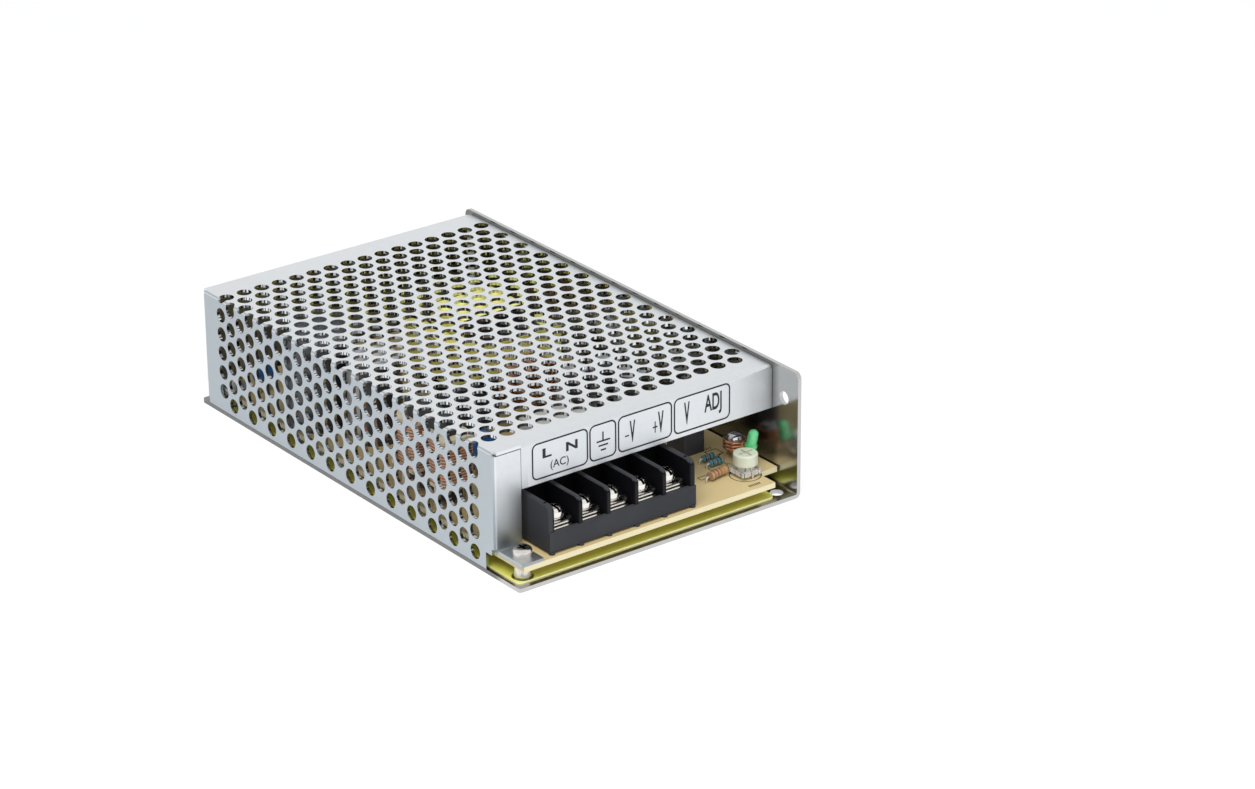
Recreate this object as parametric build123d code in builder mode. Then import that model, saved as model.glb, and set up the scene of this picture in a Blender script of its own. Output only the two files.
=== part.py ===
from build123d import *
import math
import os

# Enclosed switching power supply in a perforated folded case, in millimetres.
# Frame: +Z up, origin at the centre of the chassis underside, terminals facing -Y,
# the tall chassis wall on +X.

os.makedirs("parts", exist_ok=True)

# Case sizes
CASE_L = 159.0          # along Y
CASE_W = 97.0           # along X
CASE_H = 38.0           # chassis wall height
CHASSIS_T = 1.2         # aluminium sheet
CHASSIS_BEND = 1.8      # outer radius of the chassis fold
WALL_CORNER_R = 2.0     # rounded top corners of the wall
BASE_CORNER_R = 1.0     # rounded left corners of the base

# Cover sheet
COVER_T = 0.9
COVER_BEND = 1.2        # outer radius of every fold
COVER_DROP = 1.1        # the cover's top lies this far below the wall's top edge
COVER_GAP = 0.1         # between cover edges and the sheets they meet
FRONT_SETBACK = 11.3    # the label strip stands this far behind the chassis front edge
BACK_SETBACK = 1.9      # the back wall stands this far inside the chassis back edge
STRIP_CLEARANCE = 2.7   # label strip above the terminal barriers
STRIP_START = 9.3       # the strip starts this far from the cover's left face
BACK_WALL_GAP = 1.5     # open slot between the back wall and the chassis wall
FLANGE_SEAM = 0.15      # seam between the left flange and the label strip
FLANGE_TOP_GAP = 0.25   # seam between the flanges and the folds of the top
FOOT_W = 7.3            # foot tab, across
FOLD_LAP = 1.0          # length of flat drawn with each fold
FOOT_REACH = 10.9       # foot tab, forward of its flange
FOOT_HOLE = 5.8         # foot tab's screw hole, forward of its flange
SIDE_CUT_H = 5.1        # height of the cut-back lower front edge of the side, above the chassis sheet
SIDE_CUT_BACK = 2.8     # how far that edge is cut back
SIDE_TAB_W = 14.0       # right fixing tabs, along Y
SIDE_TAB_DEPTH = 11.0   # right fixing tabs, downwards
SIDE_TAB_HOLE = 6.6     # their screw holes, below the cover's top
SIDE_TAB_PITCH = 104.0  # between the two tabs

# Perforation: one staggered pattern, punched before folding
HOLE_R = 2.2
HOLE_PITCH_X = 6.03     # across, between holes of one row
HOLE_PITCH_Y = 5.04     # between rows
FIRST_COL = 2.2         # first column's centre from the cover's left face
FIRST_ROW = 10.8        # first row's centre from the cover's back face
LAST_ROW = 8.5          # no hole's centre is nearer to the label strip
HOLE_EDGE = 0.6         # least metal between a hole and the sheet's edge

# Board and film
BOARD_T = 1.6
STANDOFF_H = 4.2
FILM_T = 0.4
FILM_HOLE_R = 3.1
BOARD_SIDE_GAP = 1.0    # board to the cover's side
BOARD_WALL_GAP = 0.5    # board to the chassis wall
BOARD_FRONT_INSET = 0.4
BOARD_BACK_INSET = 5.5
NOTCH_W = 7.0           # notch at the board's front right corner
NOTCH_L = 7.8
FILM_SIDE_GAP = 0.4
FILM_WALL_GAP = 0.9
FILM_FRONT_INSET = 2.3
FILM_BACK_INSET = 4.0
FILM_NOTCH_W = 5.0
FILM_NOTCH_L = 6.0
FILM_CORNER_R = 1.8

# Standoffs and screws
STANDOFF_R = 2.4
STANDOFF_INSET = 5.0        # left standoffs from the cover's left face
STANDOFF_WALL_INSET = 7.3   # right standoffs from the wall
STANDOFF_SIDE_PLACE = 41.5  # right front standoff, from the chassis front edge
SHANK_R = 1.8           # pressed shank of a standoff, in the base
PRESS_GAP = 0.02        # drawn gap round a pressed or threaded shank
M3_TAP_R = 1.25
M3_HOLE_R = 1.7
PAN_HEAD_R = 2.75
PAN_HEAD_H = 1.8
LOCK_WASHER_R = 2.65
LOCK_WASHER_T = 0.6
BOARD_SCREW_L = 6.0     # below the captive washer
CROSS_W = 0.7
CROSS_D = 0.9
FLAT_HEAD_R = 2.7
FLAT_HEAD_H = 1.0
COVER_SCREW_L = 5.0     # flat screws, from the wall's outer face
DEVICE_SCREW_L = 9.0
CROSS_L = 3.0
PAN_ROUNDING = 0.55         # rounding of a pan head, as a share of its height

# Chassis fixing holes
FIX_HOLE_R = 2.0
BASE_HOLE_INSET_X = 4.9     # open hole beside the board's notch, from the wall's outer face
BASE_HOLE_INSET_Y = 4.5
WALL_HOLE_R = 1.95
WALL_HOLE_INSET_Y = 6.1
WALL_HOLE_Z = 28.7
TAP_PITCH_X = 72.0          # four tapped collars in the base
TAP_PITCH_Y = 120.0
COLLAR_R = 2.3
COLLAR_H = 1.0
COLLAR_CLEARANCE = 0.7      # film round a collar

# Terminal block
POLES = 5
POLE_PITCH = 9.5
DIVIDER_T = 1.5
END_WALL_T = 1.9
BLOCK_LEFT = 11.55      # block's left face from the cover's left face
BLOCK_FRONT_INSET = 1.8
BLOCK_DEPTH = 17.3
BLOCK_FOOT = 0.7         # peg feet under the moulding
FOOT_PEG_R = 0.9
BLOCK_FLOOR_H = 4.9     # floor above the feet
LIP_H = 0.9             # front lip above the floor
LIP_T = 1.2
BARRIER_H = 8.6         # dividers above the floor
BARRIER_R = 2.0         # rounded front top corner of the dividers
BARRIER_BACK = 0.3      # dividers start behind the lip's front face
BLOCK_BACK_T = 1.5
BLOCK_BACK_H = 7.4      # back wall above the floor
WALL_EDGE = 0.3         # chamfer on the top edges of the barriers
DIMPLE_R = 0.5          # moulding marks in the tops of the end walls
DIMPLE_D = 0.5
DIMPLE_SETBACK = 3.6
PLATE_W = 7.0
PLATE_T = 0.8
PLATE_GAP = 0.4         # between lip and plate
TAIL_T = 0.8            # solder tail of a plate
TAIL_W = 3.0
TAIL_GAP = 0.1
SCREW_SETBACK = 6.3     # screw axis behind the block's front face
TERM_SCREW_R = 1.7
RUNNING_GAP = 0.05
CLAMP_W = 7.2
CLAMP_L = 7.0
CLAMP_T = 0.9
CLAMP_LIP = 0.6         # upturned side edges of the clamp washer
CLAMP_LIP_H = 0.7
REST_GAP = 0.3          # between pieces that move against each other
TERM_WASHER_R = 2.6
TERM_WASHER_T = 0.6
TERM_HEAD_R = 2.9
TERM_HEAD_H = 2.3
TERM_SLOT_W = 0.8
TERM_SLOT_D = 0.9
TERM_SHANK_L = 5.2
WELL_R = 2.0            # well in the block under each screw
WELL_SPARE = 0.5        # well below the screw's end
END_RIB = 0.7           # joining rib on the block's right end
END_RIB_W = 2.6
END_RIB_H = 2.4
END_RIB_TOP = 1.4       # from the top of the end wall

# Adjuster, from the board's right and front edges
ADJ_PLACE = (10.5, 9.0)
ADJ_BODY = 6.6
ADJ_BODY_T = 1.4
ADJ_STAND = 0.9         # body above the board, on its pins
ADJ_CAP_R = 2.7
ADJ_CAP_H = 1.1
ADJ_STEM_R = 1.2
ADJ_STEM_H = 2.3
KNOB_R = 3.55
KNOB_H = 3.3
KNOB_SLOT_W = 0.8
KNOB_SLOT_D = 0.8
KNOB_SLOT_L = 5.0
KNOB_EDGE_R = 0.5
ADJ_PIN_PITCH = 5.0
PIN_W = 0.7
PIN_T = 0.4

# Lamp, from the board's right and front edges
LED_PLACE = (7.2, 12.6)
LED_LEAN = 14.3         # degrees, towards the wall
LED_R = 1.5
LED_FLANGE_R = 1.85
LED_FLANGE_T = 1.0
LED_H = 5.3
LED_STAND = 6.0
LED_LEG_R = 0.25
LED_LEG_PITCH = 2.54

# Heat spreader on the wall, and the devices bolted to it
SPREADER_T = 3.0
SPREADER_PLACE = 43.5       # from the chassis front edge
SPREADER_L = 48.0
SPREADER_STAND = 1.7        # above the board
SPREADER_HEADROOM = 3.0     # below the cover's top
SPREADER_CHAMFER = 0.8
DEVICE_INSET = 8.0          # first device's middle from the spreader's front end
DEVICE_PITCH = 32.0
DEVICE_STAND = 3.9          # device bodies above the board
PAD_T = 0.3
PAD_W = 13.0
PAD_MARGIN = 1.5
DEVICE_W = 10.0
DEVICE_TAB_T = 1.3
DEVICE_TAB_TOP = 2.8        # tab above its screw
DEVICE_TAB_H = 6.4
DEVICE_BODY_T = 4.5
DEVICE_BODY_H = 9.2
DEVICE_LEG_W = 0.8
DEVICE_LEG_T = 0.5
DEVICE_LEG_PITCH = 2.54
DEVICE_LEG_SETBACK = 2.6    # legs from the tab's back
NUT_FLATS = 5.5
NUT_T = 2.4

# Transformer: two E cores round a bobbin, winding axis along Y; its place is from the board's
# right and front edges
TRAFO_PLACE = (33.1, 103.6)
TRAFO_HEADROOM = 2.0        # bobbin flanges below the cover's top
TRAFO_UNDER = 1.3           # bobbin flanges above the board
CORE_W = 35.0
CORE_L = 30.0
CORE_D = 12.8
CORE_LEG = 5.2              # outer legs and yokes
CORE_POST = 10.0
BOBBIN_T = 1.0
BOBBIN_GAP = 0.1
WINDING_SIDE_T = 5.6
WINDING_R = 2.5
WINDING_GAP = 0.05
FLANGE_OVER = 0.5           # bobbin flange beyond the winding
RAIL_W = 24.0
RAIL_D = 4.6
RAIL_WEB_T = 0.8
RAIL_STAND = 0.6
TRAFO_PINS = 5
TRAFO_PIN_PITCH = 5.08
TRAFO_PIN_R = 0.4
BAND_T = 0.3                # tape round the core
BAND_INSET = 0.3            # tape's edges inside the core's faces

# Line choke: closed core standing along Y, a winding on each upright; from the left and front edges
CHOKE_PLACE = (8.0, 53.1)
CHOKE_STAND = 1.4
CHOKE_HEADROOM = 3.3
CHOKE_L = 20.0
CHOKE_D = 5.0
CHOKE_LEG = 4.5
CHOKE_BOBBIN_T = 0.8
CHOKE_FLANGE_T = 1.0
CHOKE_WINDING_T = 2.0
CHOKE_PIN_R = 0.4

# Round capacitors
INPUT_CAP_R = 10.0
INPUT_CAP_HEADROOM = 1.5
INPUT_CAP_PLACE = (10.6, 112.8)     # from the left and front edges
RESERVOIR_R = 8.0
RESERVOIR_H = 24.7
RESERVOIR_PLACE = (16.6, 94.6)
OUTPUT_CAP_R = 5.0
OUTPUT_CAP_H = 22.0
OUTPUT_CAP_PLACES = [(33.8, 58.1), (22.3, 58.1), (22.3, 46.1)]  # from the right and front edges
SMALL_CAP_R = 2.5
SMALL_CAP_H = 11.0
SMALL_CAP_PLACES = [(46.8, 60.1), (10.6, 103.1)]    # from the right and front edges
REAR_CAP_PLACE = (25.6, 9.0)                        # from the left and back edges
CAN_EDGE_R = 0.8
CAN_BEAD = 0.4
CAN_BEAD_Z = 2.4

# Disc parts, from the left and front edges unless said
DISC_STAND = 2.0
DISC_LEG_R = 0.3
DISC_ROUNDING = 0.4         # rounding of a disc's edge, as a share of its thickness
Y_CAP_R = 4.0
Y_CAP_T = 3.6
Y_CAP_PLACES = [(18.6, 76.1), (19.6, 37.1)]
REAR_Y_CAP_PLACE = (8.6, 13.0)                      # from the left and back edges
THERMISTOR_R = 6.5
THERMISTOR_T = 4.5
THERMISTOR_PLACE = (38.6, 24.6)
VARISTOR_R = 5.5
VARISTOR_T = 3.8
VARISTOR_PLACE = (25.6, 55.1)

# Boxed parts: size along x, along y and up
X_CAP = (18.0, 10.0, 19.5)
X_CAP_PLACE = (40.1, 40.1)                          # from the left and front edges
DARK_BOX = (7.4, 8.4, 14.0)
DARK_BOX_PLACE = (13.3, 32.5)                       # from the right and front edges
BOX_EDGE_R = 0.6
BRIDGE_PLACE = (34.6, 75.1)                         # from the left and front edges
BRIDGE_W = 20.0
BRIDGE_T = 3.8
BRIDGE_H = 14.0
BRIDGE_STAND = 3.2
BRIDGE_CUT = 2.6
BRIDGE_LEGS = 4
BRIDGE_LEG_PITCH = 5.08
OPTO_PLACE = (54.6, 25.1)                           # from the left and front edges
OPTO_L = 4.6
OPTO_PINS = 2
CHIP_PLACE = (38.6, 9.0)                            # from the left and back edges
CHIP_L = 9.6
CHIP_PINS = 4
DIP_W = 6.4
DIP_T = 3.4
DIP_STAND = 0.5
DIP_PIN_PITCH = 2.54
DIP_PIN_W = 1.2
DIP_PIN_T = 0.25
DIP_ROW = 7.62

# Fuse and clips, along X behind the terminals, from the left and front edges
FUSE_PLACE = (17.1, 27.1)
FUSE_L = 20.0
FUSE_R = 2.3
FUSE_CAP_R = 2.55
FUSE_CAP_L = 5.2
FUSE_STAND = 4.2
CLIP_L = 4.4
CLIP_T = 0.4
CLIP_MOUTH = 2.4
CLIP_FOOT_W = 3.0

# Output choke: ring standing across the board, from the left and front edges
RING_PLACE = (56.6, 73.1)
RING_R = 9.0
RING_BORE_R = 5.0
RING_T = 6.5
WIRE_T = 1.4
RING_WOUND = 300.0          # degrees of the ring that carry wire
RING_GAP = 0.05

# Small output choke on its wire legs, from the right and front edges
ROD_PLACE = (5.6, 19.8)
ROD_R = 2.5
ROD_H = 4.8
ROD_STAND = 2.9             # underside of the core above the board
ROD_TURN_R = 3.5            # outside of the turns
ROD_TURNS = 3
ROD_WIRE_R = 0.48
ROD_DOME = 1.6
ROD_TURN_PITCH = 1.0
ROD_TURN_GAP = 0.3
ROD_END_R = 0.42            # the wire's ends, down to the board

# Resistors with bent leads, from the right and front edges
RESISTOR_LEAD_R = 0.3
LEAD_BEND = 0.8
FILM_RES_L = 3.7
FILM_RES_R = 0.9
FILM_RES_SPAN = 6.2
FILM_RES_H = 1.4
FILM_RES_PLACES = [(13.3, 22.2), (13.6, 18.5)]
CARBON_L = 6.3
CARBON_R = 1.15
CARBON_SPAN = 9.6
CARBON_H = 1.6
CARBON_PLACE = (17.9, 12.1)
CARBON_TURN = 9.3           # degrees
RES_END_SHARE = 0.22        # swollen ends, as a share of the body's length
RES_END_OVER = 0.12

# Levels and faces worked out from the sizes above
left = -CASE_W / 2
right = CASE_W / 2
front = -CASE_L / 2
back = CASE_L / 2
wall_in = right - CHASSIS_T
cover_top = CASE_H - COVER_DROP
cover_front = front + FRONT_SETBACK
cover_back = back - BACK_SETBACK
cover_right = wall_in - COVER_GAP
cover_in = cover_top - COVER_T
side_in = left + COVER_T
board_z = CHASSIS_T + STANDOFF_H
board_top = board_z + BOARD_T
foot_top = board_top + COVER_T
inner_bend = COVER_BEND - COVER_T

standoff_left_x = left + STANDOFF_INSET
standoff_right_x = wall_in - STANDOFF_WALL_INSET
rear_flange = cover_back - 2 * COVER_T - COVER_GAP
standoff_front_y = cover_front - FOOT_HOLE
standoff_back_y = rear_flange - FOOT_HOLE
standoff_places = [
    (standoff_left_x, standoff_front_y),
    (standoff_left_x, standoff_back_y),
    (standoff_right_x, standoff_back_y),
    (standoff_right_x, front + STANDOFF_SIDE_PLACE),
]
side_tab_z = cover_top - SIDE_TAB_HOLE
side_tab_places = [-SIDE_TAB_PITCH / 2, SIDE_TAB_PITCH / 2]

board_left = side_in + BOARD_SIDE_GAP
board_right = wall_in - BOARD_WALL_GAP
board_front = front + BOARD_FRONT_INSET
board_back = back - BOARD_BACK_INSET

spreader_front = front + SPREADER_PLACE
spreader_z = board_top + SPREADER_STAND
device_body_z = board_top + DEVICE_STAND
device_screw_z = device_body_z + DEVICE_BODY_H + DEVICE_TAB_H - DEVICE_TAB_TOP
device_ys = [spreader_front + DEVICE_INSET + step * DEVICE_PITCH for step in range(2)]
device_screw_places = [(y, device_screw_z) for y in device_ys]

block_left = left + BLOCK_LEFT
block_front = front + BLOCK_FRONT_INSET
block_under = board_top + BLOCK_FOOT
block_floor = block_under + BLOCK_FLOOR_H
barrier_top = block_floor + BARRIER_H


def from_left(*places):
    """Points on the board, each given from its left and front edges."""
    return [(board_left + x, board_front + y) for x, y in places]


def from_right(*places):
    """Points on the board, each given from its right and front edges."""
    return [(board_right - x, board_front + y) for x, y in places]


def from_rear(*places):
    """Points on the board, each given from its left and back edges."""
    return [(board_left + x, board_back - y) for x, y in places]


# Chassis: base and wall folded from one sheet
with BuildPart() as chassis:
    with BuildSketch(Plane.XZ) as section:
        with Locations((0, CHASSIS_T / 2)):
            Rectangle(CASE_W, CHASSIS_T)
        with Locations((right - CHASSIS_T / 2, CASE_H / 2)):
            Rectangle(CHASSIS_T, CASE_H)
        fillet(section.vertices().sort_by_distance((right, 0, 0))[0], CHASSIS_BEND)
        fillet(section.vertices().sort_by_distance((wall_in, CHASSIS_T, 0))[0], CHASSIS_BEND - CHASSIS_T)
    extrude(amount=CASE_L / 2, both=True)
    fillet(chassis.edges().filter_by(Axis.X).group_by(Axis.Z)[-1], WALL_CORNER_R)
    fillet(chassis.edges().filter_by(Axis.Z).group_by(Axis.X)[0], BASE_CORNER_R)
    with Locations((0, 0, CHASSIS_T)):
        with GridLocations(TAP_PITCH_X, TAP_PITCH_Y, 2, 2):
            Cylinder(COLLAR_R, COLLAR_H, align=(Align.CENTER, Align.CENTER, Align.MIN))
    with Locations((0, 0, CHASSIS_T + COLLAR_H)):
        with GridLocations(TAP_PITCH_X, TAP_PITCH_Y, 2, 2):
            Hole(M3_TAP_R, CHASSIS_T + COLLAR_H)
    with Locations([(x, y, CHASSIS_T) for x, y in standoff_places]):
        Hole(SHANK_R + PRESS_GAP, CHASSIS_T)
    with Locations((right - BASE_HOLE_INSET_X, front + BASE_HOLE_INSET_Y, CHASSIS_T)):
        Hole(FIX_HOLE_R, CHASSIS_T)
    with Locations(Location((right, front + WALL_HOLE_INSET_Y, WALL_HOLE_Z), (0, 90, 0))):
        Hole(WALL_HOLE_R, CHASSIS_T)
    wall_screws = [(y, side_tab_z) for y in side_tab_places] + device_screw_places
    with Locations([Location((right, y, z), (0, 90, 0)) for y, z in wall_screws]):
        CounterSinkHole(M3_HOLE_R, FLAT_HEAD_R + PRESS_GAP, CHASSIS_T, counter_sink_angle=90)
chassis.part.label = "chassis"
export_step(chassis.part, "parts/chassis.step")

# Cover: folded from one perforated sheet


def fold_hole(setback):
    """Cutter for a hole that runs over a fold.

    The origin is the fold's start on the outer face: the flat lies towards +X and faces +Z,
    and the fold turns down towards -X. The hole's centre is setback from the start, on the flat.
    """
    arc = math.pi / 2 * (COVER_BEND - COVER_T / 2)
    half_start = math.sqrt(HOLE_R**2 - setback**2)
    half_end = math.sqrt(max(HOLE_R**2 - (setback + arc) ** 2, 0))
    reach = COVER_BEND / math.sqrt(2)
    shift = (half_end**2 - half_start**2) / (4 * reach)
    slant_r = math.hypot(reach + shift, half_start)
    rise = COVER_BEND - reach
    along = shift / math.sqrt(2)
    with BuildPart() as flat_half:
        with Locations((setback, 0, 0)):
            Cylinder(HOLE_R, 4 * COVER_T)
        split(bisect_by=Plane.YZ, keep=Keep.TOP)
    with BuildPart() as fold_half:
        with Locations(Location((-reach - along, 0, -rise - along), (0, -45, 0))):
            Cylinder(slant_r, 4 * COVER_T)
        split(bisect_by=Plane.YZ, keep=Keep.BOTTOM)
    with BuildPart() as cutter:
        add(flat_half.part)
        add(fold_half.part)
    return cutter.part


def side_plane(y, drop):
    """Plane on the cover's side at y, drop below the fold, with its X axis downwards."""
    return Plane(origin=(left, y, cover_top - COVER_BEND - drop), x_dir=(0, 0, -1), z_dir=(-1, 0, 0))


first_col_x = left + FIRST_COL
first_row_y = cover_back - FIRST_ROW
row_count = int((first_row_y - cover_front - LAST_ROW) / HOLE_PITCH_Y) + 1
top_cols = int((cover_right - HOLE_R - HOLE_EDGE - first_col_x) / HOLE_PITCH_X)
top_setback = FIRST_COL - COVER_BEND
fold_length = top_setback + math.pi / 2 * (COVER_BEND - COVER_T / 2)
row_ys = [first_row_y - row * HOLE_PITCH_Y for row in range(row_count)]
even_rows = row_ys[0::2]
odd_rows = row_ys[1::2]
even_y = (even_rows[0] + even_rows[-1]) / 2
odd_y = (odd_rows[0] + odd_rows[-1]) / 2
strip_left = left + STRIP_START
strip_bottom = barrier_top + STRIP_CLEARANCE
back_right = wall_in - BACK_WALL_GAP
side_bottom = CHASSIS_T + COVER_GAP
side_drop = cover_top - COVER_BEND - side_bottom - HOLE_R - HOLE_EDGE
side_cols = int((side_drop + fold_length) / HOLE_PITCH_X - 0.5)
side_end = rear_flange + COVER_T - COVER_BEND
flange_right = strip_left - FLANGE_SEAM
flange_top = cover_in - FLANGE_TOP_GAP
foot_left = left + COVER_BEND
top_front = cover_front + COVER_BEND
top_back = cover_back - COVER_BEND


def fold_section(flat, upright, outer_corner, inner_corner):
    """Two rectangles, given by their corners, with the outer and the inner radius of a fold."""
    with BuildSketch() as section:
        for (x0, y0), (x1, y1) in (flat, upright):
            with Locations(((x0 + x1) / 2, (y0 + y1) / 2)):
                Rectangle(abs(x1 - x0), abs(y1 - y0))
        fillet(section.vertices().sort_by_distance((*outer_corner, 0))[0], COVER_BEND)
        fillet(section.vertices().sort_by_distance((*inner_corner, 0))[0], inner_bend)
    return section.sketch


# Sections of the folds, each in the plane that it is extruded from
side_section = fold_section(
    ((left, cover_in), (left + COVER_BEND + FOLD_LAP, cover_top)),
    ((left, side_bottom), (side_in, cover_top)),
    (left, cover_top),
    (side_in, cover_in),
)
strip_section = fold_section(
    ((cover_front, cover_in), (top_front + FOLD_LAP, cover_top)),
    ((cover_front, strip_bottom), (cover_front + COVER_T, cover_top)),
    (cover_front, cover_top),
    (cover_front + COVER_T, cover_in),
)
back_section = fold_section(
    ((top_back - FOLD_LAP, cover_in), (cover_back, cover_top)),
    ((cover_back - COVER_T, side_bottom), (cover_back, cover_top)),
    (cover_back, cover_top),
    (cover_back - COVER_T, cover_in),
)
tab_section = fold_section(
    ((cover_right - COVER_BEND - FOLD_LAP, cover_in), (cover_right, cover_top)),
    ((cover_right - COVER_T, cover_top - SIDE_TAB_DEPTH), (cover_right, cover_top)),
    (cover_right, cover_top),
    (cover_right - COVER_T, cover_in),
)
front_flange_section = fold_section(
    ((left, cover_front), (flange_right, cover_front + COVER_T)),
    ((left, cover_front), (side_in, top_front + FOLD_LAP)),
    (left, cover_front),
    (side_in, cover_front + COVER_T),
)
rear_flange_section = fold_section(
    ((left, rear_flange), (flange_right, rear_flange + COVER_T)),
    ((left, side_end - FOLD_LAP), (side_in, rear_flange + COVER_T)),
    (left, rear_flange + COVER_T),
    (side_in, rear_flange),
)


def foot_section(flange_y):
    """A foot tab folded forward from the flange whose front face is at flange_y."""
    return fold_section(
        ((flange_y - FOOT_REACH, board_top), (flange_y + COVER_T, foot_top)),
        ((flange_y, board_top), (flange_y + COVER_T, board_top + COVER_BEND + FOLD_LAP)),
        (flange_y + COVER_T, board_top),
        (flange_y, foot_top),
    )


with BuildPart() as cover:
    with BuildSketch(Plane.XY.offset(cover_in)):
        with Locations(((left + COVER_BEND + cover_right) / 2, (top_front + top_back) / 2)):
            Rectangle(cover_right - left - COVER_BEND, top_back - top_front)
    extrude(amount=COVER_T)
    with BuildSketch(Plane.XY.offset(cover_in)):
        with Locations(((left + COVER_BEND + strip_left) / 2, (cover_front + top_front) / 2)):
            Rectangle(strip_left - left - COVER_BEND, COVER_BEND)
    extrude(amount=COVER_T)
    with BuildSketch(Plane.XZ.offset(-top_front)):
        add(side_section)
    extrude(amount=top_front - side_end)
    with BuildSketch(Plane.YZ.offset(strip_left)):
        add(strip_section)
    extrude(amount=cover_right - strip_left)
    with BuildSketch(Plane.YZ.offset(left + COVER_BEND)):
        add(back_section)
    extrude(amount=back_right - left - COVER_BEND)
    with BuildSketch(Plane.XY.offset(board_top + COVER_BEND)):
        add(front_flange_section)
        add(rear_flange_section)
    extrude(amount=flange_top - board_top - COVER_BEND)
    with BuildSketch(Plane.YZ.offset(foot_left)):
        add(foot_section(cover_front))
        add(foot_section(rear_flange))
    extrude(amount=FOOT_W)
    for tab_y in side_tab_places:
        with BuildSketch(Plane.XZ.offset(-tab_y)):
            add(tab_section)
        extrude(amount=SIDE_TAB_W / 2, both=True)
    with Locations((left + COVER_T / 2, top_front + SIDE_CUT_BACK / 2, side_bottom + SIDE_CUT_H / 2)):
        Box(COVER_T, SIDE_CUT_BACK, SIDE_CUT_H, mode=Mode.SUBTRACT)
    with Locations((standoff_left_x, standoff_front_y, foot_top), (standoff_left_x, standoff_back_y, foot_top)):
        Hole(M3_HOLE_R, COVER_T)
    with Locations([Location((cover_right, y, side_tab_z), (0, 90, 0)) for y in side_tab_places]):
        Hole(M3_TAP_R, COVER_T)
    with Locations([(left + COVER_BEND, y, cover_top) for y in even_rows]):
        add(fold_hole(top_setback), mode=Mode.SUBTRACT)
    with Locations([side_plane(y, 0) for y in odd_rows]):
        add(fold_hole(HOLE_PITCH_X / 2 - fold_length), mode=Mode.SUBTRACT)
    for rows_y, rows, top_x, drop in (
        (even_y, len(even_rows), (top_cols + 1) / 2, (side_cols + 1) / 2),
        (odd_y, len(odd_rows), top_cols / 2, (side_cols + 2) / 2),
    ):
        with Locations((first_col_x + top_x * HOLE_PITCH_X, rows_y, cover_top)):
            with GridLocations(HOLE_PITCH_X, 2 * HOLE_PITCH_Y, top_cols, rows):
                Hole(HOLE_R, COVER_T)
        with Locations(side_plane(rows_y, drop * HOLE_PITCH_X - fold_length)):
            with GridLocations(HOLE_PITCH_X, 2 * HOLE_PITCH_Y, side_cols, rows):
                Hole(HOLE_R, COVER_T)
cover.part.label = "cover"
export_step(cover.part, "parts/cover.step")

# Insulating film on the base
film_left = side_in + FILM_SIDE_GAP
film_right = wall_in - FILM_WALL_GAP
film_front = front + FILM_FRONT_INSET
film_back = back - FILM_BACK_INSET
with BuildPart() as insulation_sheet:
    with BuildSketch(Plane.XY.offset(CHASSIS_T)):
        with Locations(((film_left + film_right) / 2, (film_front + film_back) / 2)):
            Rectangle(film_right - film_left, film_back - film_front)
        with Locations((film_right - FILM_NOTCH_W / 2, film_front + FILM_NOTCH_L / 2)):
            Rectangle(FILM_NOTCH_W, FILM_NOTCH_L, mode=Mode.SUBTRACT)
    extrude(amount=FILM_T)
    fillet(insulation_sheet.edges().filter_by(Axis.Z), FILM_CORNER_R)
    with Locations([(x, y, CHASSIS_T + FILM_T) for x, y in standoff_places]):
        Hole(FILM_HOLE_R, FILM_T)
    with Locations((0, 0, CHASSIS_T + FILM_T)):
        with GridLocations(TAP_PITCH_X, TAP_PITCH_Y, 2, 2):
            Hole(COLLAR_R + COLLAR_CLEARANCE, FILM_T)
insulation_sheet.part.label = "insulation_sheet"
export_step(insulation_sheet.part, "parts/insulation_sheet.step")

# Board
with BuildPart() as circuit_board:
    with BuildSketch(Plane.XY.offset(board_z)):
        with Locations(((board_left + board_right) / 2, (board_front + board_back) / 2)):
            Rectangle(board_right - board_left, board_back - board_front)
        with Locations((board_right - NOTCH_W / 2, board_front + NOTCH_L / 2)):
            Rectangle(NOTCH_W, NOTCH_L, mode=Mode.SUBTRACT)
    extrude(amount=BOARD_T)
    with Locations([(x, y, board_top) for x, y in standoff_places]):
        Hole(M3_HOLE_R, BOARD_T)
circuit_board.part.label = "circuit_board"
export_step(circuit_board.part, "parts/circuit_board.step")

# Standoffs, pressed into the base
ON_BASE = (Align.CENTER, Align.CENTER, Align.MIN)
HANGING = (Align.CENTER, Align.CENTER, Align.MAX)
with BuildPart() as standoff:
    with Locations((0, 0, CHASSIS_T)):
        Cylinder(STANDOFF_R, STANDOFF_H, align=ON_BASE)
        Cylinder(SHANK_R, CHASSIS_T, align=HANGING)
    with Locations((0, 0, board_z)):
        Hole(M3_TAP_R, board_z)
with BuildPart() as standoffs:
    with Locations(standoff_places):
        add(standoff.part)
standoffs.part.label = "standoffs"
export_step(standoffs.part, "parts/standoffs.step")


def cross_recess():
    """Cutter for a cross recess, its top face at the origin."""
    with BuildPart() as recess:
        Box(CROSS_L, CROSS_W, CROSS_D, align=HANGING)
        Box(CROSS_W, CROSS_L, CROSS_D, align=HANGING)
    return recess.part


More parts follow.
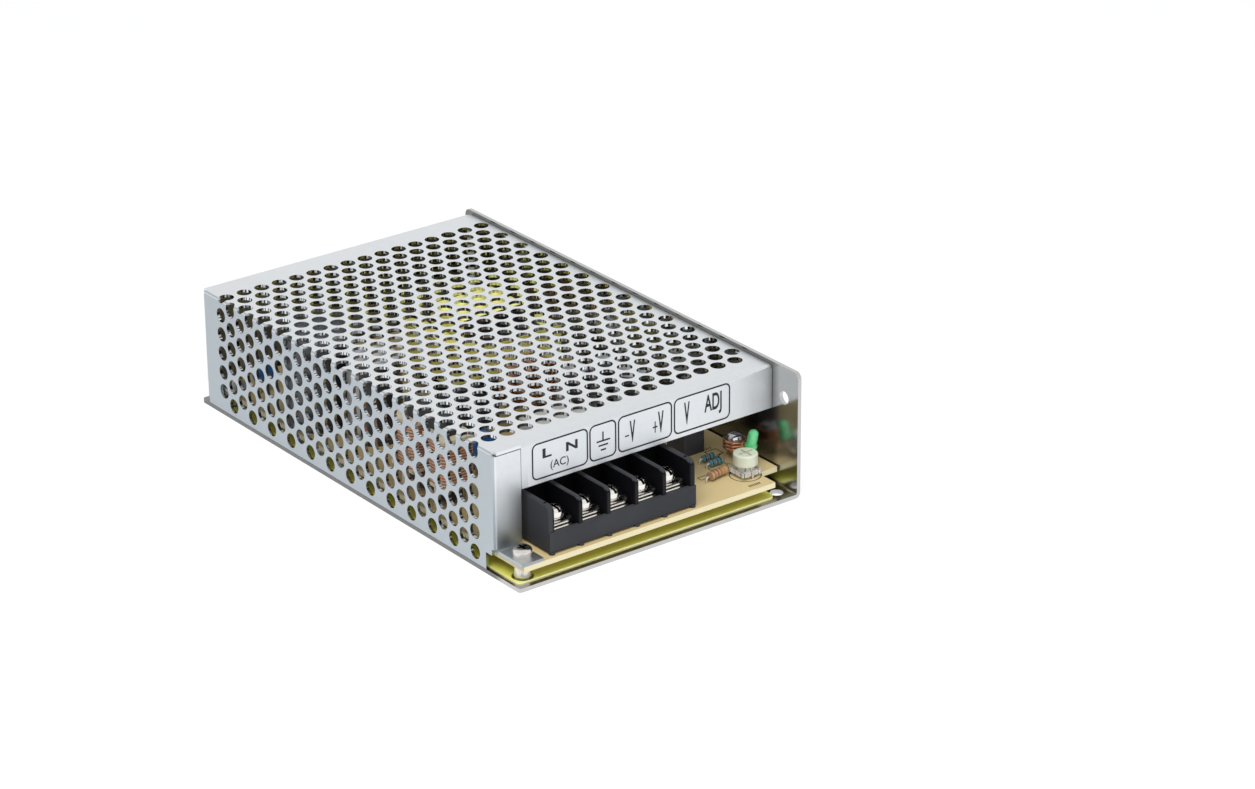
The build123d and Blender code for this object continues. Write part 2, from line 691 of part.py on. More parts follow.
# Board screws: pan head over a captive spring washer, the washer's underside at the origin
with BuildPart() as board_screw:
    Cylinder(M3_TAP_R - PRESS_GAP, BOARD_SCREW_L, align=HANGING)
    Cylinder(LOCK_WASHER_R, LOCK_WASHER_T, align=ON_BASE)
    with Locations((0, 0, LOCK_WASHER_T)):
        Cylinder(PAN_HEAD_R, PAN_HEAD_H, align=ON_BASE)
    fillet(board_screw.edges().filter_by(GeomType.CIRCLE).sort_by(Axis.Z)[-1], PAN_HEAD_H * PAN_ROUNDING)
    with Locations((0, 0, LOCK_WASHER_T + PAN_HEAD_H)):
        add(cross_recess(), mode=Mode.SUBTRACT)
board_screw_seats = [foot_top, foot_top, board_top, board_top]
with BuildPart() as board_screws:
    with Locations([(x, y, z) for (x, y), z in zip(standoff_places, board_screw_seats)]):
        add(board_screw.part)
board_screws.part.label = "board_screws"
export_step(board_screws.part, "parts/board_screws.step")


def flat_screw(length):
    """Countersunk screw, its head's face at the origin and its shank downwards."""
    with BuildPart() as screw:
        Cylinder(M3_TAP_R - PRESS_GAP, length, align=HANGING)
        Cone(FLAT_HEAD_R - FLAT_HEAD_H, FLAT_HEAD_R, FLAT_HEAD_H, align=HANGING)
        add(cross_recess(), mode=Mode.SUBTRACT)
    return screw.part


# Cover screws and device screws, flush in the wall's outer face
with BuildPart() as cover_screws:
    with Locations([Location((right, y, side_tab_z), (0, 90, 0)) for y in side_tab_places]):
        add(flat_screw(COVER_SCREW_L))
cover_screws.part.label = "cover_screws"
export_step(cover_screws.part, "parts/cover_screws.step")

with BuildPart() as device_screws:
    with Locations([Location((right, y, z), (0, 90, 0)) for y, z in device_screw_places]):
        add(flat_screw(DEVICE_SCREW_L))
device_screws.part.label = "device_screws"
export_step(device_screws.part, "parts/device_screws.step")

# Terminal block: one moulding with a floor, a front lip, dividers, a back wall and feet
pole_first_x = block_left + END_WALL_T + (POLE_PITCH - DIVIDER_T) / 2
pole_xs = [pole_first_x + pole * POLE_PITCH for pole in range(POLES)]
block_right = pole_xs[-1] + (POLE_PITCH - DIVIDER_T) / 2 + END_WALL_T
block_mid_x = (block_left + block_right) / 2
block_back = block_front + BLOCK_DEPTH
block_mid_y = (block_front + block_back) / 2
screw_y = block_front + SCREW_SETBACK
plate_top = block_floor + PLATE_T
clamp_z = plate_top + REST_GAP
screw_z = clamp_z + CLAMP_T + REST_GAP
well_z = screw_z - TERM_SHANK_L - WELL_SPARE
plate_front = block_front + LIP_T + PLATE_GAP
plate_back = block_back - BLOCK_BACK_T - TAIL_GAP
divider_xs = [x + POLE_PITCH / 2 for x in pole_xs[:-1]]
end_wall_xs = [block_left + END_WALL_T / 2, block_right - END_WALL_T / 2]
peg_xs = divider_xs + end_wall_xs
peg_ys = [block_front + FOOT_PEG_R / 2, block_back - 2 * FOOT_PEG_R]
with BuildPart() as terminal_block:
    with Locations((block_mid_x, block_mid_y, block_under)):
        Box(block_right - block_left, BLOCK_DEPTH, BLOCK_FLOOR_H, align=ON_BASE)
    with Locations((block_mid_x, block_front + LIP_T / 2, block_floor)):
        Box(block_right - block_left, LIP_T, LIP_H, align=ON_BASE)
    with Locations((block_mid_x, block_back - BLOCK_BACK_T / 2, block_floor)):
        Box(block_right - block_left, BLOCK_BACK_T, BLOCK_BACK_H, align=ON_BASE)
    barrier_walls = [(x, DIVIDER_T) for x in divider_xs] + [(x, END_WALL_T) for x in end_wall_xs]
    for wall_x, wall_t in barrier_walls:
        with BuildSketch(Plane.YZ.offset(wall_x)) as barrier:
            with Locations(((block_front + BARRIER_BACK + block_back) / 2, (block_under + barrier_top) / 2)):
                Rectangle(BLOCK_DEPTH - BARRIER_BACK, barrier_top - block_under)
            fillet(barrier.vertices().group_by(Axis.Y)[-1].sort_by(Axis.X)[0], BARRIER_R)
        extrude(amount=wall_t / 2, both=True)
    chamfer(terminal_block.edges().filter_by(Axis.Y).group_by(Axis.Z)[-1], WALL_EDGE)
    with Locations([(x, y, board_top) for x in peg_xs for y in peg_ys]):
        Cylinder(FOOT_PEG_R, BLOCK_FOOT, align=ON_BASE)
    with Locations([(x, block_front + DIMPLE_SETBACK, barrier_top) for x in end_wall_xs]):
        Hole(DIMPLE_R, DIMPLE_D)
    with Locations((block_right, screw_y, barrier_top - END_RIB_TOP)):
        Box(2 * END_RIB, END_RIB_W, END_RIB_H, align=HANGING)
    with Locations([(x, screw_y, block_floor) for x in pole_xs]):
        Cylinder(WELL_R, block_floor - well_z, align=HANGING, mode=Mode.SUBTRACT)
    with Locations([(x, plate_back - TAIL_T / 2, block_floor) for x in pole_xs]):
        Box(TAIL_W + 2 * TAIL_GAP, TAIL_T + 2 * TAIL_GAP, BLOCK_FLOOR_H, align=HANGING, mode=Mode.SUBTRACT)
terminal_block.part.label = "terminal_block"
export_step(terminal_block.part, "parts/terminal_block.step")

# Terminal plates: a tapped plate on the floor of each pole, with a solder tail down to the board
with BuildPart() as terminal_plate:
    with Locations((0, (plate_front + plate_back) / 2, block_floor)):
        Box(PLATE_W, plate_back - plate_front, PLATE_T, align=ON_BASE)
    with Locations((0, plate_back - TAIL_T / 2, board_top)):
        Box(TAIL_W, TAIL_T, plate_top - board_top, align=ON_BASE)
    with Locations((0, screw_y, plate_top)):
        Hole(TERM_SCREW_R + RUNNING_GAP, PLATE_T)
with BuildPart() as terminal_plates:
    with Locations([(x, 0, 0) for x in pole_xs]):
        add(terminal_plate.part)
terminal_plates.part.label = "terminal_plates"
export_step(terminal_plates.part, "parts/terminal_plates.step")

# Clamp washer: square, with upturned side edges
with BuildPart() as clamp_washer:
    with Locations((0, screw_y, clamp_z)):
        Box(CLAMP_W, CLAMP_L, CLAMP_T, align=ON_BASE)
    with Locations((-(CLAMP_W - CLAMP_LIP) / 2, screw_y, clamp_z), ((CLAMP_W - CLAMP_LIP) / 2, screw_y, clamp_z)):
        Box(CLAMP_LIP, CLAMP_L, CLAMP_T + CLAMP_LIP_H, align=ON_BASE)
    with Locations((0, screw_y, clamp_z + CLAMP_T)):
        Hole(TERM_SCREW_R + RUNNING_GAP, CLAMP_T)

# Terminal screw: pan head over a round washer, with a slot and a cross
with BuildPart() as terminal_screw:
    with Locations((0, screw_y, screw_z)):
        Cylinder(TERM_SCREW_R, TERM_SHANK_L, align=HANGING)
        Cylinder(TERM_WASHER_R, TERM_WASHER_T, align=ON_BASE)
    with Locations((0, screw_y, screw_z + TERM_WASHER_T)):
        Cylinder(TERM_HEAD_R, TERM_HEAD_H, align=ON_BASE)
    fillet(
        terminal_screw.edges().filter_by(GeomType.CIRCLE).sort_by(Axis.Z)[-1],
        TERM_HEAD_H * PAN_ROUNDING,
    )
    with Locations((0, screw_y, screw_z + TERM_WASHER_T + TERM_HEAD_H)):
        add(cross_recess(), mode=Mode.SUBTRACT)
        Box(TERM_SLOT_W, 3 * TERM_HEAD_R, TERM_SLOT_D, align=HANGING, mode=Mode.SUBTRACT)

for number, pole_x in enumerate(pole_xs, start=1):
    for kind, unit in (("clamp_washer", clamp_washer), ("terminal_screw", terminal_screw)):
        with BuildPart() as placed:
            with Locations((pole_x, 0, 0)):
                add(unit.part)
        placed.part.label = f"{kind}_{number}"
        export_step(placed.part, f"parts/{kind}_{number}.step")

# Adjuster: square body on pins, round cap and stem, and a slotted knob over the stem
(adj_x, adj_y), = from_right(ADJ_PLACE)
adj_z = board_top + ADJ_STAND
adj_cap_z = adj_z + ADJ_BODY_T
adj_stem_z = adj_cap_z + ADJ_CAP_H
knob_z = adj_stem_z + REST_GAP
with BuildPart() as adjuster_base:
    with Locations((adj_x, adj_y, adj_z)):
        Box(ADJ_BODY, ADJ_BODY, ADJ_BODY_T, align=ON_BASE)
    fillet(adjuster_base.edges().filter_by(Axis.Z), BOX_EDGE_R)
    with Locations((adj_x, adj_y, adj_cap_z)):
        Cylinder(ADJ_CAP_R, ADJ_CAP_H, align=ON_BASE)
    with Locations((adj_x, adj_y, adj_stem_z)):
        Cylinder(ADJ_STEM_R, ADJ_STEM_H, align=ON_BASE)
    with Locations(
        (adj_x, adj_y - ADJ_BODY / 2 + PIN_T / 2, board_top),
        (adj_x - ADJ_PIN_PITCH / 2, adj_y + ADJ_BODY / 2 - PIN_T / 2, board_top),
        (adj_x + ADJ_PIN_PITCH / 2, adj_y + ADJ_BODY / 2 - PIN_T / 2, board_top),
    ):
        Box(PIN_W, PIN_T, ADJ_STAND, align=ON_BASE)
adjuster_base.part.label = "adjuster_base"
export_step(adjuster_base.part, "parts/adjuster_base.step")

with BuildPart() as adjuster_knob:
    with Locations((adj_x, adj_y, knob_z)):
        Cylinder(KNOB_R, KNOB_H, align=ON_BASE)
    fillet(adjuster_knob.edges().group_by(Axis.Z)[-1], KNOB_EDGE_R)
    with Locations((adj_x, adj_y, knob_z)):
        Cylinder(
            ADJ_STEM_R + RUNNING_GAP,
            ADJ_STEM_H - REST_GAP + RUNNING_GAP,
            align=ON_BASE,
            mode=Mode.SUBTRACT,
        )
    with Locations((adj_x, adj_y, knob_z + KNOB_H)):
        Box(KNOB_SLOT_L, KNOB_SLOT_W, KNOB_SLOT_D, align=HANGING, mode=Mode.SUBTRACT)
        Box(KNOB_SLOT_W, KNOB_SLOT_L, KNOB_SLOT_D, align=HANGING, mode=Mode.SUBTRACT)
adjuster_knob.part.label = "adjuster_knob"
export_step(adjuster_knob.part, "parts/adjuster_knob.step")

# Lamp: domed lens with a flange, on two legs that lean towards the wall
(led_x, led_y), = from_right(LED_PLACE)
led_direction = Vector(0, 0, 1).rotate(Axis.Y, LED_LEAN)
led_axis = Plane(origin=(led_x, led_y, board_top), x_dir=(0, 1, 0), z_dir=led_direction)
with BuildPart() as power_led:
    with BuildSketch(led_axis.offset(LED_STAND)):
        Circle(LED_FLANGE_R)
    extrude(amount=LED_FLANGE_T)
    with BuildSketch(led_axis.offset(LED_STAND)):
        Circle(LED_R)
    extrude(amount=LED_H - LED_R)
    with Locations(led_axis.offset(LED_STAND + LED_H - LED_R)):
        Sphere(LED_R)
    with BuildSketch(led_axis):
        with GridLocations(LED_LEG_PITCH, 1, 2, 1):
            Circle(LED_LEG_R)
    extrude(amount=LED_STAND)
    with BuildSketch(led_axis):
        with GridLocations(LED_LEG_PITCH, 1, 2, 1):
            Circle(LED_LEG_R)
    extrude(amount=-LED_R)
    split(bisect_by=Plane.XY.offset(board_top), keep=Keep.TOP)
power_led.part.label = "power_led"
export_step(power_led.part, "parts/power_led.step")

# Heat spreader on the wall
spreader_in = wall_in - SPREADER_T
with BuildPart() as heat_spreader:
    with Locations((wall_in - SPREADER_T / 2, spreader_front + SPREADER_L / 2, spreader_z)):
        Box(SPREADER_T, SPREADER_L, cover_in - SPREADER_HEADROOM - spreader_z, align=ON_BASE)
    chamfer(heat_spreader.edges().filter_by(Axis.X), SPREADER_CHAMFER)
    with Locations([Location((wall_in, y, z), (0, 90, 0)) for y, z in device_screw_places]):
        Hole(M3_HOLE_R, SPREADER_T)
heat_spreader.part.label = "heat_spreader"
export_step(heat_spreader.part, "parts/heat_spreader.step")

# Insulating pads between the spreader and the devices
pad_in = spreader_in - PAD_T
pad_h = DEVICE_TAB_H + DEVICE_BODY_H + 2 * PAD_MARGIN
with BuildPart() as insulating_pads:
    with Locations([(spreader_in - PAD_T / 2, y, device_body_z - PAD_MARGIN) for y in device_ys]):
        Box(PAD_T, PAD_W, pad_h, align=ON_BASE)
    with Locations([Location((spreader_in, y, device_screw_z), (0, 90, 0)) for y in device_ys]):
        Hole(M3_HOLE_R, PAD_T)
insulating_pads.part.label = "insulating_pads"
export_step(insulating_pads.part, "parts/insulating_pads.step")


def power_device(y):
    """Flat plastic power device with a drilled metal tab and three legs."""
    with BuildPart() as device:
        with Locations((pad_in - DEVICE_TAB_T / 2, y, device_body_z)):
            Box(DEVICE_TAB_T, DEVICE_W, DEVICE_TAB_H + DEVICE_BODY_H, align=ON_BASE)
        with Locations((pad_in - DEVICE_BODY_T / 2, y, device_body_z)):
            Box(DEVICE_BODY_T, DEVICE_W, DEVICE_BODY_H, align=ON_BASE)
        with Locations([
            (pad_in - DEVICE_LEG_SETBACK, y + step * DEVICE_LEG_PITCH, board_top) for step in (-1, 0, 1)
        ]):
            Box(DEVICE_LEG_T, DEVICE_LEG_W, device_body_z - board_top, align=ON_BASE)
        with Locations(Location((pad_in, y, device_screw_z), (0, 90, 0))):
            Hole(M3_HOLE_R, DEVICE_TAB_T)
    return device.part


for device_name, device_y in zip(("switching_transistor", "output_diode"), device_ys):
    device_part = power_device(device_y)
    device_part.label = device_name
    export_step(device_part, f"parts/{device_name}.step")

with BuildPart() as device_nuts:
    for device_y in device_ys:
        with BuildSketch(Plane(
            origin=(pad_in - DEVICE_TAB_T, device_y, device_screw_z), x_dir=(0, 1, 0), z_dir=(-1, 0, 0)
        )):
            RegularPolygon(NUT_FLATS / 2, 6, major_radius=False)
            Circle(M3_TAP_R, mode=Mode.SUBTRACT)
        extrude(amount=NUT_T)
device_nuts.part.label = "device_nuts"
export_step(device_nuts.part, "parts/device_nuts.step")

# Transformer core: two E halves that meet in the middle of the posts
(trafo_x, trafo_y), = from_right(TRAFO_PLACE)
flange_low = board_top + TRAFO_UNDER
flange_high = cover_in - TRAFO_HEADROOM
trafo_z = (flange_low + flange_high) / 2
trafo_axis = Plane(origin=(trafo_x, trafo_y, trafo_z))
window_w = CORE_W - 2 * CORE_LEG
window_l = CORE_L - 2 * CORE_LEG
with BuildPart() as core_half:
    with BuildSketch(Plane.XY.offset(-CORE_D / 2)):
        with Locations((0, -CORE_L / 4)):
            Rectangle(CORE_W, CORE_L / 2)
        with Locations((0, -window_l / 4)):
            Rectangle(window_w, window_l / 2, mode=Mode.SUBTRACT)
            Rectangle(CORE_POST, window_l / 2)
    extrude(amount=CORE_D)
with BuildPart() as transformer_core:
    with Locations(trafo_axis):
        add(core_half.part)
    with Locations(trafo_axis.rotated((0, 0, 180))):
        add(core_half.part)
transformer_core.part.label = "transformer_core"
export_step(transformer_core.part, "parts/transformer_core.step")

# Bobbin: a tube on the middle post, two flanges, and a pin rail under each yoke
tube_w = CORE_POST + 2 * (BOBBIN_GAP + BOBBIN_T)
tube_h = CORE_D + 2 * (BOBBIN_GAP + BOBBIN_T)
wound_w = tube_w + 2 * WINDING_SIDE_T
wound_h = flange_high - flange_low - 2 * FLANGE_OVER
bobbin_l = window_l - 2 * BOBBIN_GAP
rail_top = trafo_z - CORE_D / 2 - BOBBIN_GAP
rail_z = board_top + RAIL_STAND
rail_y = CORE_L / 2 - CORE_LEG / 2
with BuildPart() as transformer_bobbin:
    with BuildSketch(Plane.XZ.offset(-trafo_y - bobbin_l / 2)):
        with Locations((trafo_x, trafo_z)):
            Rectangle(tube_w, tube_h)
            Rectangle(CORE_POST + 2 * BOBBIN_GAP, CORE_D + 2 * BOBBIN_GAP, mode=Mode.SUBTRACT)
    extrude(amount=bobbin_l)
    for flange_y in (trafo_y - bobbin_l / 2 + BOBBIN_T, trafo_y + bobbin_l / 2):
        with BuildSketch(Plane.XZ.offset(-flange_y)):
            with Locations((trafo_x, trafo_z)):
                Rectangle(window_w - 2 * BOBBIN_GAP, flange_high - flange_low)
                Rectangle(CORE_POST + 2 * BOBBIN_GAP, CORE_D + 2 * BOBBIN_GAP, mode=Mode.SUBTRACT)
        extrude(amount=BOBBIN_T)
    with Locations((trafo_x, trafo_y - rail_y, rail_z), (trafo_x, trafo_y + rail_y, rail_z)):
        Box(RAIL_W, RAIL_D, rail_top - rail_z, align=ON_BASE)
    with Locations((trafo_x, trafo_y, rail_z)):
        Box(RAIL_W, 2 * rail_y, RAIL_WEB_T, align=ON_BASE)
    with Locations((trafo_x, trafo_y - rail_y, board_top), (trafo_x, trafo_y + rail_y, board_top)):
        with GridLocations(TRAFO_PIN_PITCH, 1, TRAFO_PINS, 1):
            Cylinder(TRAFO_PIN_R, RAIL_STAND, align=ON_BASE)
transformer_bobbin.part.label = "transformer_bobbin"
export_step(transformer_bobbin.part, "parts/transformer_bobbin.step")

winding_l = bobbin_l - 2 * (BOBBIN_T + WINDING_GAP)
with BuildPart() as transformer_winding:
    with BuildSketch(Plane.XZ.offset(-trafo_y - winding_l / 2)):
        with Locations((trafo_x, trafo_z)):
            RectangleRounded(wound_w, wound_h, WINDING_R)
            Rectangle(tube_w + 2 * WINDING_GAP, tube_h + 2 * WINDING_GAP, mode=Mode.SUBTRACT)
    extrude(amount=winding_l)
transformer_winding.part.label = "transformer_winding"
export_step(transformer_winding.part, "parts/transformer_winding.step")

with BuildPart() as transformer_tape:
    with BuildSketch(Plane.XY.offset(trafo_z - CORE_D / 2 + BAND_INSET)):
        with Locations((trafo_x, trafo_y)):
            RectangleRounded(CORE_W + 2 * BAND_T, CORE_L + 2 * BAND_T, BAND_T)
            Rectangle(CORE_W, CORE_L, mode=Mode.SUBTRACT)
    extrude(amount=CORE_D - 2 * BAND_INSET)
transformer_tape.part.label = "transformer_tape"
export_step(transformer_tape.part, "parts/transformer_tape.step")

# Line choke core: a closed rectangle standing along Y
(choke_x, choke_y), = from_left(CHOKE_PLACE)
choke_z = board_top + CHOKE_STAND
choke_h = cover_in - CHOKE_HEADROOM - choke_z
choke_leg_y = (CHOKE_L - CHOKE_LEG) / 2
choke_leg_ys = (choke_y - choke_leg_y, choke_y + choke_leg_y)
with BuildPart() as line_choke_core:
    with BuildSketch(Plane.YZ.offset(choke_x - CHOKE_D / 2)):
        with Locations((choke_y, choke_z + choke_h / 2)):
            Rectangle(CHOKE_L, choke_h)
            Rectangle(CHOKE_L - 2 * CHOKE_LEG, choke_h - 2 * CHOKE_LEG, mode=Mode.SUBTRACT)
    extrude(amount=CHOKE_D)
line_choke_core.part.label = "line_choke_core"
export_step(line_choke_core.part, "parts/line_choke_core.step")

# Its bobbins: a tube with two flanges on each upright, and four pins down to the board
choke_tube_h = choke_h - 2 * CHOKE_LEG - 2 * BOBBIN_GAP
choke_tube_z = choke_z + CHOKE_LEG + BOBBIN_GAP
choke_tube_x = CHOKE_D + 2 * (BOBBIN_GAP + CHOKE_BOBBIN_T)
choke_tube_y = CHOKE_LEG + 2 * (BOBBIN_GAP + CHOKE_BOBBIN_T)
choke_flange_x = choke_tube_x + 2 * CHOKE_WINDING_T
choke_flange_y = choke_tube_y + 2 * CHOKE_WINDING_T
choke_pin_x = choke_flange_x / 2 - CHOKE_PIN_R
with BuildPart() as choke_bobbin:
    with BuildSketch(Plane.XY):
        Rectangle(choke_tube_x, choke_tube_y)
    extrude(amount=choke_tube_h)
    for flange_z in (0, choke_tube_h - CHOKE_FLANGE_T):
        with BuildSketch(Plane.XY.offset(flange_z)):
            Rectangle(choke_flange_x, choke_flange_y)
        extrude(amount=CHOKE_FLANGE_T)
    with BuildSketch(Plane.XY):
        Rectangle(CHOKE_D + 2 * BOBBIN_GAP, CHOKE_LEG + 2 * BOBBIN_GAP)
    extrude(amount=choke_tube_h, mode=Mode.SUBTRACT)
    with Locations((-choke_pin_x, 0, 0), (choke_pin_x, 0, 0)):
        Cylinder(CHOKE_PIN_R, choke_tube_z - board_top, align=HANGING)
with BuildPart() as line_choke_bobbin:
    with Locations([(choke_x, y, choke_tube_z) for y in choke_leg_ys]):
        add(choke_bobbin.part)
line_choke_bobbin.part.label = "line_choke_bobbin"
export_step(line_choke_bobbin.part, "parts/line_choke_bobbin.step")

choke_wound_h = choke_tube_h - 2 * (CHOKE_FLANGE_T + WINDING_GAP)
with BuildPart() as line_choke_windings:
    with BuildSketch(Plane.XY.offset(choke_tube_z + CHOKE_FLANGE_T + WINDING_GAP)):
        with Locations([(choke_x, y) for y in choke_leg_ys]):
            RectangleRounded(choke_flange_x - 2 * BOBBIN_GAP, choke_flange_y - 2 * BOBBIN_GAP, CHOKE_WINDING_T)
            Rectangle(choke_tube_x + 2 * WINDING_GAP, choke_tube_y + 2 * WINDING_GAP, mode=Mode.SUBTRACT)
    extrude(amount=choke_wound_h)
line_choke_windings.part.label = "line_choke_windings"
export_step(line_choke_windings.part, "parts/line_choke_windings.step")


def can(radius, height):
    """Electrolytic capacitor standing at the origin: rounded top and a rolled bead."""
    with BuildPart() as body:
        Cylinder(radius, height, align=ON_BASE)
        fillet(body.edges().group_by(Axis.Z)[-1], CAN_EDGE_R)
        with BuildSketch(Plane.XZ):
            with Locations((radius + CAN_BEAD, CAN_BEAD_Z)):
                Circle(2 * CAN_BEAD)
        revolve(axis=Axis.Z, mode=Mode.SUBTRACT)
    return body.part


input_cap_h = cover_in - INPUT_CAP_HEADROOM - board_top
small_cap_places = from_right(*SMALL_CAP_PLACES) + from_rear(REAR_CAP_PLACE)
can_nodes = [
    ("input_capacitor", INPUT_CAP_R, input_cap_h, from_left(INPUT_CAP_PLACE)),
    ("reservoir_capacitor", RESERVOIR_R, RESERVOIR_H, from_left(RESERVOIR_PLACE)),
    ("output_capacitors", OUTPUT_CAP_R, OUTPUT_CAP_H, from_right(*OUTPUT_CAP_PLACES)),
    ("small_capacitors", SMALL_CAP_R, SMALL_CAP_H, small_cap_places),
]
for can_name, can_r, can_h, can_places in can_nodes:
    with BuildPart() as cans:
        with Locations([(x, y, board_top) for x, y in can_places]):
            add(can(can_r, can_h))
    cans.part.label = can_name
    export_step(cans.part, f"parts/{can_name}.step")


def disc(radius, thickness):
    """Coated disc standing across Y above the origin on two legs."""
    with BuildPart() as body:
        with Locations(Location((0, 0, DISC_STAND + radius), (90, 0, 0))):
            Cylinder(radius, thickness)
        fillet(body.edges().filter_by(GeomType.CIRCLE), thickness * DISC_ROUNDING)
        with Locations((-radius / 2, 0, 0), (radius / 2, 0, 0)):
            Cylinder(DISC_LEG_R, DISC_STAND + radius, align=ON_BASE)
    return body.part


disc_nodes = [
    ("y_capacitors", Y_CAP_R, Y_CAP_T, from_left(*Y_CAP_PLACES) + from_rear(REAR_Y_CAP_PLACE)),
    ("thermistor", THERMISTOR_R, THERMISTOR_T, from_left(THERMISTOR_PLACE)),
    ("varistor", VARISTOR_R, VARISTOR_T, from_left(VARISTOR_PLACE)),
]
for disc_name, disc_r, disc_t, disc_places in disc_nodes:
    with BuildPart() as discs:
        with Locations([(x, y, board_top) for x, y in disc_places]):
            add(disc(disc_r, disc_t))
    discs.part.label = disc_name
    export_step(discs.part, f"parts/{disc_name}.step")

# Boxed capacitors: mains capacitor and the dark box beside the outputs
for box_name, box_size, box_places in (
    ("x_capacitor", X_CAP, from_left(X_CAP_PLACE)),
    ("film_capacitor", DARK_BOX, from_right(DARK_BOX_PLACE)),
):
    with BuildPart() as box_cap:
        with Locations([(x, y, board_top) for x, y in box_places]):
            Box(*box_size, align=ON_BASE)
        fillet(box_cap.edges().filter_by(Axis.Z) + box_cap.edges().group_by(Axis.Z)[-1], BOX_EDGE_R)
    box_cap.part.label = box_name
    export_step(box_cap.part, f"parts/{box_name}.step")

# Bridge rectifier: upright slab with one cut corner, on four legs
(bridge_x, bridge_y), = from_left(BRIDGE_PLACE)
with BuildPart() as bridge_rectifier:
    with Locations((bridge_x, bridge_y, board_top + BRIDGE_STAND)):
        Box(BRIDGE_W, BRIDGE_T, BRIDGE_H, align=ON_BASE)
    chamfer(bridge_rectifier.edges().filter_by(Axis.Y).sort_by_distance((-CASE_W, 0, CASE_H))[0], BRIDGE_CUT)
    with Locations((bridge_x, bridge_y, board_top)):
        with GridLocations(BRIDGE_LEG_PITCH, 1, BRIDGE_LEGS, 1):
            Cylinder(DEVICE_LEG_W / 2, BRIDGE_STAND, align=ON_BASE)
bridge_rectifier.part.label = "bridge_rectifier"
export_step(bridge_rectifier.part, "parts/bridge_rectifier.step")


def dip(length, pins):
    """Chip with two rows of bent pins, standing at the origin with its length along Y."""
    with BuildPart() as chip:
        with Locations((0, 0, DIP_STAND)):
            Box(DIP_W, length, DIP_T, align=ON_BASE)
        with Locations((0, 0, DIP_STAND + DIP_T / 2)):
            with GridLocations(1, DIP_PIN_PITCH, 1, pins):
                Box(DIP_ROW + DIP_PIN_T, DIP_PIN_W, DIP_PIN_T)
        with GridLocations(DIP_ROW, DIP_PIN_PITCH, 2, pins):
            Box(DIP_PIN_T, DIP_PIN_W, DIP_STAND + DIP_T / 2, align=ON_BASE)
    return chip.part


for chip_name, chip_places, chip_l, chip_pins in (
    ("optocoupler", from_left(OPTO_PLACE), OPTO_L, OPTO_PINS),
    ("controller_chip", from_rear(CHIP_PLACE), CHIP_L, CHIP_PINS),
):
    with BuildPart() as chip_at:
        with Locations([(x, y, board_top) for x, y in chip_places]):
            add(dip(chip_l, chip_pins))
    chip_at.part.label = chip_name
    export_step(chip_at.part, f"parts/{chip_name}.step")

# Fuse: glass tube with metal caps, in two spring clips
(fuse_x, fuse_y), = from_left(FUSE_PLACE)
fuse_z = board_top + FUSE_STAND
fuse_axis = Plane(origin=(fuse_x, fuse_y, fuse_z), x_dir=(0, 1, 0), z_dir=(1, 0, 0))
fuse_cap_x = (FUSE_L - FUSE_CAP_L) / 2
with BuildPart() as fuse:
    with Locations(fuse_axis):
        Cylinder(FUSE_R, FUSE_L)
    with Locations(fuse_axis.offset(-fuse_cap_x), fuse_axis.offset(fuse_cap_x)):
        Cylinder(FUSE_CAP_R, FUSE_CAP_L)
fuse.part.label = "fuse"
export_step(fuse.part, "parts/fuse.step")

with BuildPart() as fuse_clips:
    for clip_x in (fuse_x - fuse_cap_x - CLIP_L / 2, fuse_x + fuse_cap_x - CLIP_L / 2):
        with BuildSketch(Plane.YZ.offset(clip_x)):
            with Locations((fuse_y, fuse_z)):
                Circle(FUSE_CAP_R + PRESS_GAP + CLIP_T)
            with Locations((fuse_y, (board_top + fuse_z) / 2)):
                Rectangle(CLIP_FOOT_W, fuse_z - board_top)
            with Locations((fuse_y, fuse_z)):
                Circle(FUSE_CAP_R + PRESS_GAP, mode=Mode.SUBTRACT)
            with Locations((fuse_y, fuse_z + CLIP_MOUTH + FUSE_CAP_R / 2)):
                Rectangle(4 * FUSE_CAP_R, FUSE_CAP_R + 2 * CLIP_T, mode=Mode.SUBTRACT)
        extrude(amount=CLIP_L)
fuse_clips.part.label = "fuse_clips"
export_step(fuse_clips.part, "parts/fuse_clips.step")

# Output choke: a ring standing along X, wound most of the way round
(ring_x, ring_y), = from_left(RING_PLACE)
ring_z = board_top + RING_R + WIRE_T
with BuildPart() as output_choke_core:
    with BuildSketch(Plane.XZ.offset(-ring_y - RING_T / 2)):
        with Locations((ring_x, ring_z)):
            Circle(RING_R)
            Circle(RING_BORE_R, mode=Mode.SUBTRACT)
    extrude(amount=RING_T)
output_choke_core.part.label = "output_choke_core"
export_step(output_choke_core.part, "parts/output_choke_core.step")

ring_axis = Axis((ring_x, ring_y, ring_z), (0, 1, 0))
ring_section_x = ring_x - (RING_R + RING_BORE_R) / 2
with BuildPart() as output_choke_winding:
    with BuildSketch(Plane.XY.offset(ring_z)):
        with Locations((ring_section_x, ring_y)):
            RectangleRounded(RING_R - RING_BORE_R + 2 * WIRE_T, RING_T + 2 * WIRE_T, WIRE_T)
            Rectangle(RING_R - RING_BORE_R + 2 * RING_GAP, RING_T + 2 * RING_GAP, mode=Mode.SUBTRACT)
    revolve(axis=ring_axis, revolution_arc=RING_WOUND)
output_choke_winding.part.label = "output_choke_winding"
export_step(output_choke_winding.part, "parts/output_choke_winding.step")

